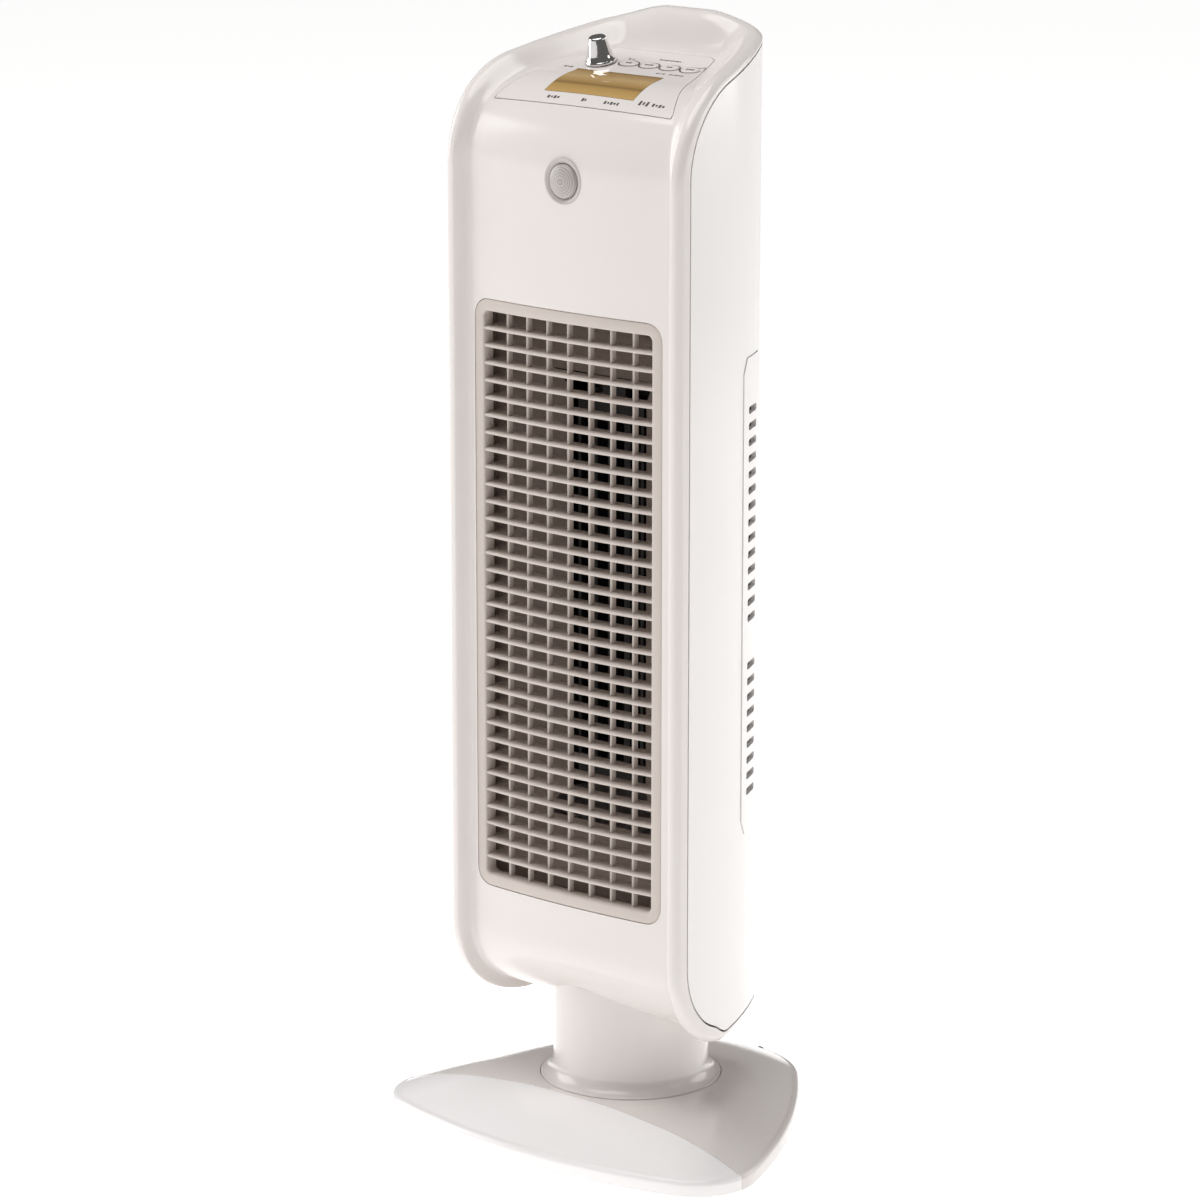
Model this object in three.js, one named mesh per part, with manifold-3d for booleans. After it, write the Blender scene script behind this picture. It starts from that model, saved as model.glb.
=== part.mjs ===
// Tower ceramic heater on a swinging neck, as an assembly of separate pieces.
// Millimetres, +Z up, front towards -Y, origin under the middle of the base on the floor.
import * as THREE from 'three';
import { mergeVertices } from 'three/addons/utils/BufferGeometryUtils.js';
import { ParametricGeometry } from 'three/addons/geometries/ParametricGeometry.js';
import Module from 'manifold-3d';

// ---- Driving dimensions -----------------------------------------------------------------

const GAP = 0.3;                    // clearance between pieces that rest on each other
const WALL = 2.6;                   // moulded shell wall
const OVERLAP = 1;                  // how far a cut or a joined solid runs past the face it meets
const REACH = 20;                   // how far a cutter stands out of the body

// Tower body, measured from the neck axis
const HEIGHT = 700;                 // floor to the top of the rear crest
const CREST_RISE = 8;               // the rear crest stands this far above the side rims
const BODY_HALF_WIDTH = 92;
const BODY_FRONT = -68;             // front of the side rims
const BODY_BACK = 60;
const BODY_BOTTOM = 74;             // lowest point of the side rims
const CHIN_RISE = 6;                // the rims rise by this much towards the back of the underside
const SIDE_RADIUS = 240;            // plan curve of each side
const REAR_CORNER_RADIUS = 30;
const BROW_RADIUS = 66;             // rims, from the front over to the top
const CHIN_RADIUS = 58;             // rims, from the front under to the bottom
const TOP_SLOPE = THREE.MathUtils.degToRad(13.9);
const RIM_ROUND = 5;                // outer edge of the rims
const RIM_CREST = 7;                // side face to the inner edge of the rim crest
const RIM_WALL_FRONT = 12.5;        // side face to the flat of the panel, at the front
const RIM_WALL_TRAY = 30;           // the same round the control tray
const PANEL_DEPTH = 7.5;            // front panel below the rim crest, beside the rims
const BROW_DEPTH = 5.5;             // the same where the panel turns over to the top
const TRAY_DEPTH = 10.8;            // control tray below the rim crest
const PANEL_CROWN = 4.7;            // the front panel bulges by this much in the middle
const SEAM_FRONT = 10;              // front-to-rear shell seam, in from the rim crest
const SEAM_TOP = 5;
const SEAM_BOTTOM = 4;
const SEAM_TURN = 20;               // length over which the seam closes up under the chin

// Outlet grille
const GRILLE_BOTTOM = 157;
const GRILLE_HEIGHT = 372;
const GRILLE_WIDTH = 147;
const GRILLE_CORNER = 11;
const GRILLE_BORDER = 7.5;
const GRILLE_THICKNESS = 9;
const GRILLE_INNER_CORNER = 3.5;
const LOUVRE_COUNT = 32;
const LOUVRE_THICKNESS = 2;
const LOUVRE_RECESS = 0.8;          // front edges of the louvres, behind the face of the frame
const LOUVRE_DEPTH = 12.5;
const FIN_COUNT = 7;
const FIN_THICKNESS = 1.8;
const FIN_RECESS = 4.5;             // front edges of the fins, behind the face of the frame
const FIN_DEPTH = 4;
const GRILLE_OVERLAP = 2;           // louvres and fins run this far into the frame
const OPENING_REACH = 22;

// Air path: side vents, cross-flow fan, ceramic heater, outlet duct
const HEATER_WIDTH = 52;
const HEATER_HEIGHT = 238;
const HEATER_DEPTH = 16;
const HEATER_CENTRE_Z = 348;
const HEATER_BACK = -4;             // Y of the heater's back face
const HEATER_BANKS = 4;
const HEATER_BANK_SHARE = 0.64;     // open share of each bank's pitch
const HEATER_END_BLOCK = 12;
const CUTOUT = { halfWidth: 9, height: 9, inset: 3 };
const DUCT_WALL = 1.6;
const DUCT_MARGIN = 3;              // mouth of the duct, out from the grille's opening
const FAN_RADIUS = 25;
const FAN_CENTRE_Y = 27;
const FAN_BLADES = 16;
const FAN_CLEARANCE = 3;
const FAN_DISC_THICKNESS = 2;
const BLADE_DEPTH = 7.4;
const BLADE_THICKNESS = 1.2;
const SHAFT_RADIUS = 2.5;
const SHAFT_BELOW_FAN = 14;
const SHAFT_ABOVE_FAN = 18;
const CHEEK_FROM = -0.12;           // housing cheek on the right, in turns round the fan
const CHEEK_TO = 0.14;
const END_PLATE_THICKNESS = 2.5;
const END_PLATE_MARGIN = 2;
const END_PLATE_CORNER = 8;
const RUNNING_CLEARANCE = 0.08;
const FAN_MOTOR_RADIUS = 23;
const FAN_MOTOR_HEIGHT = 34;
const BEARING_RADIUS = 8;
const BEARING_HEIGHT = 10;

// Side vent covers
const VENT_BOTTOM = 199;
const VENT_TOP = 498;
const VENT_START_Y = 10;            // front edge of the cover
const VENT_END_Y = 39;
const VENT_PITCH = 10;
const VENT_PROUD = 0.6;
const VENT_SLOT_HEIGHT = 4.6;
const VENT_SLOT_FROM = 0.3;         // ends of a slot, as shares of the cover's width
const VENT_SLOT_TO = 0.85;
const VENT_UPPER = { first: 335, count: 14 };
const VENT_LOWER = { first: 225, count: 9 };

// Control tray
const PLATE_FRONT_Y = -48;
const PLATE_BACK_Y = 30;
const PLATE_THICKNESS = 1.4;
const PLATE_CLEARANCE = 0.5;
const DISPLAY = { centreY: -26, length: 30, halfWidth: 34.5 };
const BUTTON_Y = 5;
const BUTTON_FIRST_X = -7;
const BUTTON_PITCH = 15.8;
const BUTTON_COUNT = 4;
const BUTTON_HALF_LENGTH = 6.6;
const BUTTON_HALF_WIDTH = 4.2;
const BUTTON_HEIGHT = 5.2;
const BUTTON_PROUD = 1.0;
const SLIDE_CLEARANCE = 0.35;
const KNOB = { x: -26, y: 2, baseRadius: 9.8, topRadius: 5.2, height: 17, lift: 0.8 };
const KNOB_SHAFT_RADIUS = 3;
const KNOB_SHAFT_LENGTH = 16;
const BOARD = { halfWidth: 46, front: -16, back: 22, thickness: 1.6, depth: 17.6 };
const SENSOR_BELOW_TOP = 92.3;      // sensor centre below the rear crest
const SENSOR_RADIUS = 10.5;
const SENSOR_DISH_RADIUS = 13.5;
const SENSOR_DEPTH = 8;
const LENS_DOME = 3;

// Neck and swing drive
const NECK_RADIUS = 48.9;
const NECK_FOOT_RADIUS = 57;
const NECK_WALL = 3;
const NECK_FLARE = 10;
const NECK_BORE = 9;                 // lead hole through the neck's floor
const NECK_FOOT_THICKNESS = 4;
const DECK_HEIGHT = 32.3;           // base top at the neck
const GEAR_MODULE = 1.5;
const GEAR_TEETH = 24;
const PINION_TEETH = 12;
const GEAR_THICKNESS = 5;
const PRESSURE_ANGLE = Math.PI / 9;
const SWING_MOTOR_RADIUS = 13;
const MOTOR_CLEARANCE = 6.9;        // between the swing motor and the bearing ring round it
const BEARING_RING_WIDTH = 9.1;

// Base
const NECK_Y = -11;                 // neck axis, from the middle of the base
const FOOT_HEIGHT = 2.6;
const BASE_FRONT = -112;            // these are measured from the neck axis
const BASE_BACK = 134;
const BASE_HALF_WIDTH = 138;
const BASE_WALL_TOP = 12.6;
const BASE_EDGE_ROUND = 4;
const FRONT_ARC = 380;
const CORNER_ARC = 39;
const SIDE_ARC = 480;
const REAR_ARC = 64;
const BASE_SEAM_Y = -61;
const PLATE_RECESS = 3.5;           // base plate edge, in from the outer wall's inner face
const BASE_PLATE_THICKNESS = 2.4;
const FOOT_RECESS = 0.4;            // the base plate lies this far above the cover's edge
const FOOT_RADIUS = 7;
const FOOT_PLACES = [               // right-hand ones; mirrored
  [BASE_HALF_WIDTH - 46, BASE_FRONT + 28], [BASE_HALF_WIDTH - 26, -22], [36, BASE_BACK - 30],
];
const SCREW_PLACES = [[BASE_HALF_WIDTH - 38, BASE_FRONT + 52], [62, BASE_BACK - 72]];
const SCREW_HEAD_RADIUS = 3.4;
const SCREW_RADIUS = 1.8;
const SCREW_HEAD_HEIGHT = 2;
const SWITCH_PLACE = [0, BASE_FRONT + 14];
const SWITCH = { halfWidth: 9, halfLength: 7, height: 3.6 };
const PLUNGER = { halfWidth: 4, halfLength: 3, floorGap: 0.05, above: 2.5 };
const WEIGHT = { halfWidth: 48, front: BASE_BACK - 72, back: BASE_BACK - 38, corner: 8, thickness: 5 };
const GLAND_RADIUS = 4.4;
const GLAND_BORE = 3.2;
const GLAND_LENGTH = 4.8;
const GLAND_HEIGHT = 5.2;           // its centre, above the base cover's lower edge

// ---- Solids ------------------------------------------------------------------------------

const wasm = await Module();
wasm.setup();

const TAU = Math.PI * 2;

// A closed geometry as a manifold solid. Triangles that close up at a pole are dropped, and a
// skin that was wound inwards is turned round.
function solid(geometry) {
  const bare = geometry.clone();
  bare.deleteAttribute('normal');
  bare.deleteAttribute('uv');
  const merged = mergeVertices(bare, 1e-4);
  const index = merged.index.array;
  const kept = [];
  for (let i = 0; i < index.length; i += 3) {
    const [a, b, c] = [index[i], index[i + 1], index[i + 2]];
    if (a !== b && b !== c && c !== a) kept.push(a, b, c);
  }
  const build = (triVerts) => new wasm.Manifold(new wasm.Mesh({
    numProp: 3,
    vertProperties: new Float32Array(merged.attributes.position.array),
    triVerts: new Uint32Array(triVerts),
  }));
  const made = build(kept);
  return made.volume() < 0 ? build(kept.reverse()) : made;
}

function toGeometry(manifold) {
  const mesh = manifold.getMesh();
  const geometry = new THREE.BufferGeometry();
  const positions = new Float32Array(mesh.vertProperties);
  geometry.setAttribute('position', new THREE.BufferAttribute(positions, 3));
  geometry.setIndex(new THREE.BufferAttribute(new Uint32Array(mesh.triVerts), 1));
  geometry.computeVertexNormals();
  return geometry;
}

function union(solids) {
  return solids.reduce((sum, next) => sum.add(next));
}

function box(x0, x1, y0, y1, z0, z1) {
  const geometry = new THREE.BoxGeometry(x1 - x0, y1 - y0, z1 - z0);
  geometry.translate((x0 + x1) / 2, (y0 + y1) / 2, (z0 + z1) / 2);
  return solid(geometry);
}

// A cylinder or cone standing on +Z
function drum(radius, z0, z1, segments = 32, topRadius = radius) {
  const geometry = new THREE.CylinderGeometry(topRadius, radius, z1 - z0, segments);
  geometry.rotateX(Math.PI / 2);
  geometry.translate(0, 0, (z0 + z1) / 2);
  return solid(geometry);
}

// A closed [radius, z] profile turned round +Z
function turned(profile, segments = 48) {
  const points = profile.map(([r, z]) => new THREE.Vector2(r, z));
  const geometry = new THREE.LatheGeometry(points, segments);
  geometry.rotateX(Math.PI / 2);
  return solid(geometry);
}

// [x, y] outline raised from z0 to z1
function extrudeZ(points, z0, z1) {
  const shape = new THREE.Shape(points.map(([x, y]) => new THREE.Vector2(x, y)));
  const geometry = new THREE.ExtrudeGeometry(shape, { depth: z1 - z0, bevelEnabled: false });
  geometry.translate(0, 0, z0);
  return solid(geometry);
}

const YZ_TO_X = new THREE.Matrix4().makeBasis(
  new THREE.Vector3(0, 1, 0),
  new THREE.Vector3(0, 0, 1),
  new THREE.Vector3(1, 0, 0),
);
const XZ_TO_Y = new THREE.Matrix4().makeBasis(
  new THREE.Vector3(1, 0, 0),
  new THREE.Vector3(0, 0, 1),
  new THREE.Vector3(0, -1, 0),
);

// [y, z] outline carried from x0 to x1
function extrudeX(points, x0, x1) {
  const shape = new THREE.Shape(points.map(([y, z]) => new THREE.Vector2(y, z)));
  const geometry = new THREE.ExtrudeGeometry(shape, { depth: x1 - x0, bevelEnabled: false });
  geometry.applyMatrix4(YZ_TO_X);
  geometry.translate(x0, 0, 0);
  return solid(geometry);
}

// [x, z] outline carried from y0 to y1
function extrudeY(points, y0, y1) {
  const shape = new THREE.Shape(points.map(([x, z]) => new THREE.Vector2(x, z)));
  const geometry = new THREE.ExtrudeGeometry(shape, { depth: y1 - y0, bevelEnabled: false });
  geometry.applyMatrix4(XZ_TO_Y);
  geometry.translate(0, y1, 0);
  return solid(geometry);
}

// A closed skin through rings of points; the first and last rings close to a point.
function loft(rings) {
  const middle = (ring) => ring
    .reduce((sum, point) => sum.add(point), new THREE.Vector3())
    .divideScalar(ring.length);
  const all = [
    rings[0].map(() => middle(rings[0])),
    ...rings,
    rings.at(-1).map(() => middle(rings.at(-1))),
  ];
  const around = rings[0].length;
  const along = all.length - 1;
  const place = (u, v, target) => {
    const ring = all[Math.round(v * along)];
    target.copy(ring[Math.round(u * around) % around]);
  };
  return solid(new ParametricGeometry(place, around, along));
}

function arc(cx, cy, radius, from, to, steps) {
  return Array.from({ length: steps + 1 }, (_, i) => {
    const angle = from + (to - from) * i / steps;
    return [cx + radius * Math.cos(angle), cy + radius * Math.sin(angle)];
  });
}

function roundedRectangle(x0, x1, y0, y1, r, steps = 5) {
  return [
    ...arc(x1 - r, y1 - r, r, 0, TAU / 4, steps),
    ...arc(x0 + r, y1 - r, r, TAU / 4, TAU / 2, steps),
    ...arc(x0 + r, y0 + r, r, TAU / 2, TAU * 3 / 4, steps),
    ...arc(x1 - r, y0 + r, r, TAU * 3 / 4, TAU, steps),
  ];
}

function mirrored(points) {
  return points.map(([x, y]) => [-x, y]).reverse();
}

// 0 below from, 1 above to, and smooth between
const ramp = THREE.MathUtils.smoothstep;
const { lerp } = THREE.MathUtils;

// ---- Body surfaces -----------------------------------------------------------------------

// Plan: each side is one arc that starts square at the front and runs into the rear corner arc.
const SIDE_CENTRE_X = BODY_HALF_WIDTH - SIDE_RADIUS;
const CORNER_Y = BODY_BACK - REAR_CORNER_RADIUS;
const CORNER_X = SIDE_CENTRE_X
  + Math.sqrt((SIDE_RADIUS - REAR_CORNER_RADIUS) ** 2 - (CORNER_Y - BODY_FRONT) ** 2);
const CORNER_START = Math.atan2(CORNER_Y - BODY_FRONT, CORNER_X - SIDE_CENTRE_X);

function planOutline(inset) {
  const front = BODY_FRONT - 4;
  const half = [
    [BODY_HALF_WIDTH - inset, front],
    ...arc(SIDE_CENTRE_X, BODY_FRONT, SIDE_RADIUS - inset, 0, CORNER_START, 12),
    ...arc(CORNER_X, CORNER_Y, REAR_CORNER_RADIUS - inset, CORNER_START, TAU / 4, 7).slice(1),
  ];
  return [...half, ...mirrored(half)];
}

function halfWidthAt(y) {
  if (y <= BODY_FRONT) return BODY_HALF_WIDTH;
  const side = SIDE_CENTRE_X + Math.sqrt(SIDE_RADIUS ** 2 - (y - BODY_FRONT) ** 2);
  const reach = REAR_CORNER_RADIUS ** 2 - (y - CORNER_Y) ** 2;
  if (y < CORNER_Y + REAR_CORNER_RADIUS * Math.sin(CORNER_START)) return side;
  return CORNER_X + Math.sqrt(Math.max(reach, 0));
}

// Distance from a plan point in to the side and rear faces
function insetAt(x, y) {
  const ax = Math.abs(x);
  const side = y > BODY_FRONT
    ? SIDE_RADIUS - Math.hypot(ax - SIDE_CENTRE_X, y - BODY_FRONT)
    : BODY_HALF_WIDTH - ax;
  const dx = ax - CORNER_X;
  const dy = y - CORNER_Y;
  if (dx > 0 && dy > 0 && Math.atan2(dy, dx) > CORNER_START) {
    return REAR_CORNER_RADIUS - Math.hypot(dx, dy);
  }
  return Math.min(side, BODY_BACK - y);
}

// Side view: the line of the rim crest, from the back of the underside, round the chin, up the
// front, over the brow and back along the top. Each station has the inward direction and how
// deep the panel lies below the crest.
const RIM_BACK_HEIGHT = HEIGHT - CREST_RISE + RIM_ROUND * Math.tan(TOP_SLOPE);
const CHIN_Y = BODY_FRONT + CHIN_RADIUS;
const BROW_Y = BODY_FRONT + BROW_RADIUS;
const BROW_Z = RIM_BACK_HEIGHT - (BODY_BACK - BROW_Y) * Math.tan(TOP_SLOPE)
  - BROW_RADIUS / Math.cos(TOP_SLOPE);
const BROW_END_Y = BROW_Y - BROW_RADIUS * Math.sin(TOP_SLOPE);

function crestHeightAt(y) {
  if (y < BROW_END_Y) return BROW_Z + Math.sqrt(Math.max(BROW_RADIUS ** 2 - (y - BROW_Y) ** 2, 0));
  return RIM_BACK_HEIGHT - (BODY_BACK - y) * Math.tan(TOP_SLOPE);
}

// How far the tray deepens and its walls widen behind the brow
const trayShareAt = (y) => lerp(0.8, 1, THREE.MathUtils.clamp((y - BROW_END_Y) / 52, 0, 1));

function crestStations() {
  const stations = [];
  for (const y of [BODY_BACK + REACH, BODY_BACK, BODY_BACK * 0.4]) {
    const share = (y - CHIN_Y) / (BODY_BACK - CHIN_Y);
    stations.push({
      y, z: BODY_BOTTOM + CHIN_RISE * share, inY: 0, inZ: 1,
      depth: lerp(PANEL_DEPTH, PANEL_DEPTH - CHIN_RISE, Math.min(share, 1)), crown: 0,
      wall: RIM_WALL_FRONT, tray: 0,
    });
  }
  for (const angle of arcSteps(-TAU / 4, -TAU / 2, 6)) {
    stations.push({
      y: CHIN_Y + CHIN_RADIUS * Math.cos(angle),
      z: BODY_BOTTOM + CHIN_RADIUS + CHIN_RADIUS * Math.sin(angle),
      inY: -Math.cos(angle), inZ: -Math.sin(angle), depth: PANEL_DEPTH,
      crown: PANEL_CROWN * (1 - ramp(-Math.sin(angle), 0, 0.8)), wall: RIM_WALL_FRONT, tray: 0,
    });
  }
  for (const angle of arcSteps(TAU / 2, TAU / 4 + TOP_SLOPE, 8)) {
    const turn = (TAU / 2 - angle) / (TAU / 4 - TOP_SLOPE);
    stations.push({
      y: BROW_Y + BROW_RADIUS * Math.cos(angle), z: BROW_Z + BROW_RADIUS * Math.sin(angle),
      inY: -Math.cos(angle), inZ: -Math.sin(angle),
      depth: turn < 0.5
        ? lerp(PANEL_DEPTH, BROW_DEPTH, turn / 0.5)
        : lerp(BROW_DEPTH, TRAY_DEPTH * trayShareAt(BROW_END_Y), (turn - 0.5) / 0.5),
      crown: PANEL_CROWN * (1 - turn),
      wall: lerp(RIM_WALL_FRONT, RIM_WALL_TRAY * trayShareAt(BROW_END_Y), turn),
      tray: turn,
    });
  }
  const wallFoot = BODY_BACK - RIM_WALL_TRAY;
  const wallHead = BODY_BACK - RIM_CREST;
  const back = [
    lerp(BROW_END_Y, wallFoot, 0.33), lerp(BROW_END_Y, wallFoot, 0.67), wallFoot,
    ...[0.25, 0.5, 0.75, 1].map((share) => lerp(wallFoot, wallHead, share)),
    ...[1, 0.5, 0.15, -0.05, -6].map((share) => BODY_BACK - RIM_ROUND * share),
  ];
  for (const y of back) {
    stations.push({
      y, z: crestHeightAt(y), inY: Math.sin(TOP_SLOPE), inZ: -Math.cos(TOP_SLOPE),
      depth: TRAY_DEPTH * trayShareAt(y), crown: 0, wall: RIM_WALL_TRAY * trayShareAt(y), tray: 1,
    });
  }
  return stations;
}

function arcSteps(from, to, steps) {
  return Array.from({ length: steps + 1 }, (_, i) => lerp(from, to, i / steps));
}

// How far the moulded surface lies in from the crest line, across the body
function surfaceDepth(station, x) {
  const inset = insetAt(x, station.y);
  const floorShare = ramp(inset, RIM_CREST, station.wall);
  const panelHalf = Math.max(halfWidthAt(station.y) - station.wall, 1);
  const bulge = station.crown * Math.max(1 - (x / panelHalf) ** 2, 0);
  const rise = CREST_RISE * station.tray * ramp(station.y, 10, BODY_BACK - 5)
    * ramp(BODY_HALF_WIDTH - Math.abs(x), BODY_HALF_WIDTH * 0.37, BODY_HALF_WIDTH * 0.84);
  const edge = THREE.MathUtils.clamp(RIM_ROUND - inset, 0, RIM_ROUND);
  const roundOver = RIM_ROUND - Math.sqrt(RIM_ROUND ** 2 - edge ** 2);
  return (station.depth - bulge) * floorShare - rise * (1 - floorShare) + roundOver;
}

// The same for the inside of the shell, which has no rims
function innerDepth(station, x) {
  const panelHalf = Math.max(halfWidthAt(station.y) - station.wall, 1);
  const bulge = station.crown * Math.max(1 - (x / panelHalf) ** 2, 0);
  return station.depth - bulge;
}

function acrossAt(station) {
  const half = halfWidthAt(station.y);
  const flat = Math.max(half - station.wall, 6);
  const wallSteps = [0.33, 0.67];
  const side = [
    ...[0.35, 0.7, 1].map((share) => flat * share),
    ...wallSteps.map((share) => lerp(flat, half - RIM_CREST, share)),
    half - RIM_CREST, half - RIM_ROUND, half - RIM_ROUND * 0.4, half - RIM_ROUND * 0.08, half,
    BODY_HALF_WIDTH + REACH,
  ];
  return [...side.map((x) => -x).reverse(), 0, ...side];
}

// Everything outside the moulded surface, set in by extra; taken away from the body block
function outside(depthAt, extra) {
  const reach = BODY_HALF_WIDTH;
  const rings = crestStations().map((station) => {
    const point = (x, depth) => new THREE.Vector3(
      x, station.y + station.inY * depth, station.z + station.inZ * depth);
    const xs = acrossAt(station);
    const far = [xs.at(-1), xs[0]].map((x) => point(x, -reach));
    return [...xs.map((x) => point(x, depthAt(station, x) + extra)), ...far];
  });
  return loft(rings);
}

const bodyBlock = (inset) => extrudeZ(planOutline(inset), BODY_BOTTOM - REACH, HEIGHT + REACH);
const outerCut = outside(surfaceDepth, 0);
const body = bodyBlock(0).subtract(outerCut);
const cavity = bodyBlock(WALL).subtract(outside(innerDepth, WALL));
const shell = body.subtract(cavity);

// Side-view outline of the rear shell, inside the rim crest by the seam's own width
function seamOutline(extra) {
  return crestStations().map((station) => {
    const under = ramp(station.y, CHIN_Y - SEAM_TURN, CHIN_Y) * (station.z < BROW_Z ? 1 : 0);
    const inset = lerp(lerp(SEAM_FRONT, SEAM_TOP, station.tray), SEAM_BOTTOM, under) + extra;
    return [station.y + station.inY * inset, station.z + station.inZ * inset];
  });
}
const seamRegion = (extra) => extrudeX(
  seamOutline(extra), -BODY_HALF_WIDTH - REACH, BODY_HALF_WIDTH + REACH);

// ---- Colours -----------------------------------------------------------------------------

const finish = (color, roughness, metalness = 0) => new THREE.MeshStandardMaterial({
  color, roughness, metalness,
});
const warmWhite = finish(0xece4e0, 0.28);
const white = finish(0xf7f3f1, 0.25);
const grilleGrey = finish(0xd6cdc7, 0.45);
const ductBrown = finish(0x7a6a62, 0.7);
const darkPlastic = finish(0x2e2c2b, 0.6);
const steel = finish(0x9a9a98, 0.4, 1);
const castIron = finish(0x4a4a4c, 0.6, 1);
const chrome = finish(0xe6e6e8, 0.08, 1);
const ceramic = finish(0xb9b2a8, 0.55, 0.4);
const boardGreen = finish(0x2f6b45, 0.5);
const displayGold = finish(0xc8a866, 0.25);
const lensGrey = finish(0xc9c5c4, 0.35);
const rubber = finish(0x242424, 0.9);
const nylon = finish(0xe9e6dc, 0.5);

// ---- Assembly ----------------------------------------------------------------------------

const heater = new THREE.Group();
const tower = new THREE.Group();
tower.position.y = NECK_Y;
heater.add(tower);

function piece(group, name, made, material, place) {
  const mesh = new THREE.Mesh(toGeometry(made), material);
  mesh.name = name;
  if (place) place(mesh);
  group.add(mesh);
}

// A place on the tray floor, behind the brow
const trayPoint = (x, y) => new THREE.Vector3(
  x, y, crestHeightAt(y) - TRAY_DEPTH * trayShareAt(y) / Math.cos(TOP_SLOPE));

// -- Front shell: one moulding with the side rims, the front panel, the control tray and the
// underside. The seam leaves room for the rear shell round the sides and back.
const grilleOpening = (clearance) => extrudeY(
  roundedRectangle(
    -GRILLE_WIDTH / 2 - clearance, GRILLE_WIDTH / 2 + clearance,
    GRILLE_BOTTOM - clearance, GRILLE_BOTTOM + GRILLE_HEIGHT + clearance,
    GRILLE_CORNER + clearance,
  ),
  BODY_FRONT - OPENING_REACH, BODY_FRONT + OPENING_REACH,
);

// The plan of the control plate follows the foot of the tray walls.
function plateOutline(inset) {
  const right = [];
  for (const share of [0, 0.12, 0.25, 0.4, 0.55, 0.7, 0.85, 1]) {
    const y = lerp(PLATE_FRONT_Y + inset, PLATE_BACK_Y - inset, share);
    const turn = ramp(y, BODY_FRONT - 10, BROW_END_Y);
    right.push([halfWidthAt(y) - lerp(RIM_WALL_FRONT, RIM_WALL_TRAY, turn) - inset, y]);
  }
  return [...right, ...mirrored(right)];
}
const platePrism = (inset) => extrudeZ(plateOutline(inset), BROW_Z, HEIGHT + REACH);
const surfaceBand = (upper, lower) => (
  outside(surfaceDepth, lower).subtract(outside(surfaceDepth, upper)));

const rearShare = seamRegion(-GAP).subtract(bodyBlock(WALL + GAP));
const buttonX = (i) => BUTTON_FIRST_X + BUTTON_PITCH * i;

function onTray(manifold, x, y) {
  const place = trayPoint(x, y);
  return manifold.rotate([THREE.MathUtils.radToDeg(TOP_SLOPE), 0, 0]).translate(place.toArray());
}
const ovalOutline = (halfLength, halfWidth) => Array.from({ length: 20 }, (_, i) => [
  halfLength * Math.cos(TAU * i / 20), halfWidth * Math.sin(TAU * i / 20),
]);
const buttonHole = extrudeZ(
  ovalOutline(BUTTON_HALF_LENGTH + SLIDE_CLEARANCE, BUTTON_HALF_WIDTH + SLIDE_CLEARANCE),
  -REACH / 2, REACH / 2,
);
const buttonHoles = union(Array.from({ length: BUTTON_COUNT }, (_, i) => (
  onTray(buttonHole, buttonX(i), BUTTON_Y))));
const knobHole = onTray(
  drum(KNOB_SHAFT_RADIUS + RUNNING_CLEARANCE * 2, -REACH, REACH, 24), KNOB.x, KNOB.y);
const sensorZ = HEIGHT - SENSOR_BELOW_TOP;
const panelFrontY = BODY_FRONT + PANEL_DEPTH - PANEL_CROWN;
const lyingDrum = (radius, y0, y1, z, segments = 32) => drum(radius, -y1, -y0, segments)
  .rotate([90, 0, 0]).translate([0, 0, z]);
const sensorHole = lyingDrum(SENSOR_DISH_RADIUS + GAP, BODY_FRONT - REACH, BODY_FRONT + REACH, sensorZ);
const neckHole = drum(NECK_RADIUS - NECK_WALL - GAP, BODY_BOTTOM - REACH, BODY_BOTTOM + REACH, 40);
const frontShell = shell.subtract(rearShare)
  .subtract(grilleOpening(GAP))
  .subtract(platePrism(0).intersect(surfaceBand(-3, PLATE_THICKNESS + GAP)))
  .subtract(buttonHoles)
  .subtract(knobHole)
  .subtract(sensorHole)
  .subtract(neckHole);
piece(tower, 'front_shell', frontShell, warmWhite);

// -- Rear shell: the white sides and back, with an opening behind each vent cover.
const sideNormalAt = (y) => Math.asin((y - BODY_FRONT) / SIDE_RADIUS);
const ventAngles = [sideNormalAt(VENT_START_Y), sideNormalAt(VENT_END_Y)];
function ventBand(outer, inner, margin) {
  const [from, to] = ventAngles;
  const spread = margin / SIDE_RADIUS;
  const points = [
    ...arc(SIDE_CENTRE_X, BODY_FRONT, SIDE_RADIUS + outer, from - spread, to + spread, 2),
    ...arc(SIDE_CENTRE_X, BODY_FRONT, SIDE_RADIUS - inner, to + spread, from - spread, 2),
  ];
  return extrudeZ(points, VENT_BOTTOM - margin, VENT_TOP + margin);
}
const mirrorX = (manifold) => manifold.mirror([1, 0, 0]);
const ventOpening = ventBand(OVERLAP, REACH, GAP);
const rearShell = body.subtract(bodyBlock(WALL))
  .intersect(seamRegion(0))
  .subtract(ventOpening)
  .subtract(mirrorX(ventOpening));
piece(tower, 'rear_shell', rearShell, white);

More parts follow.
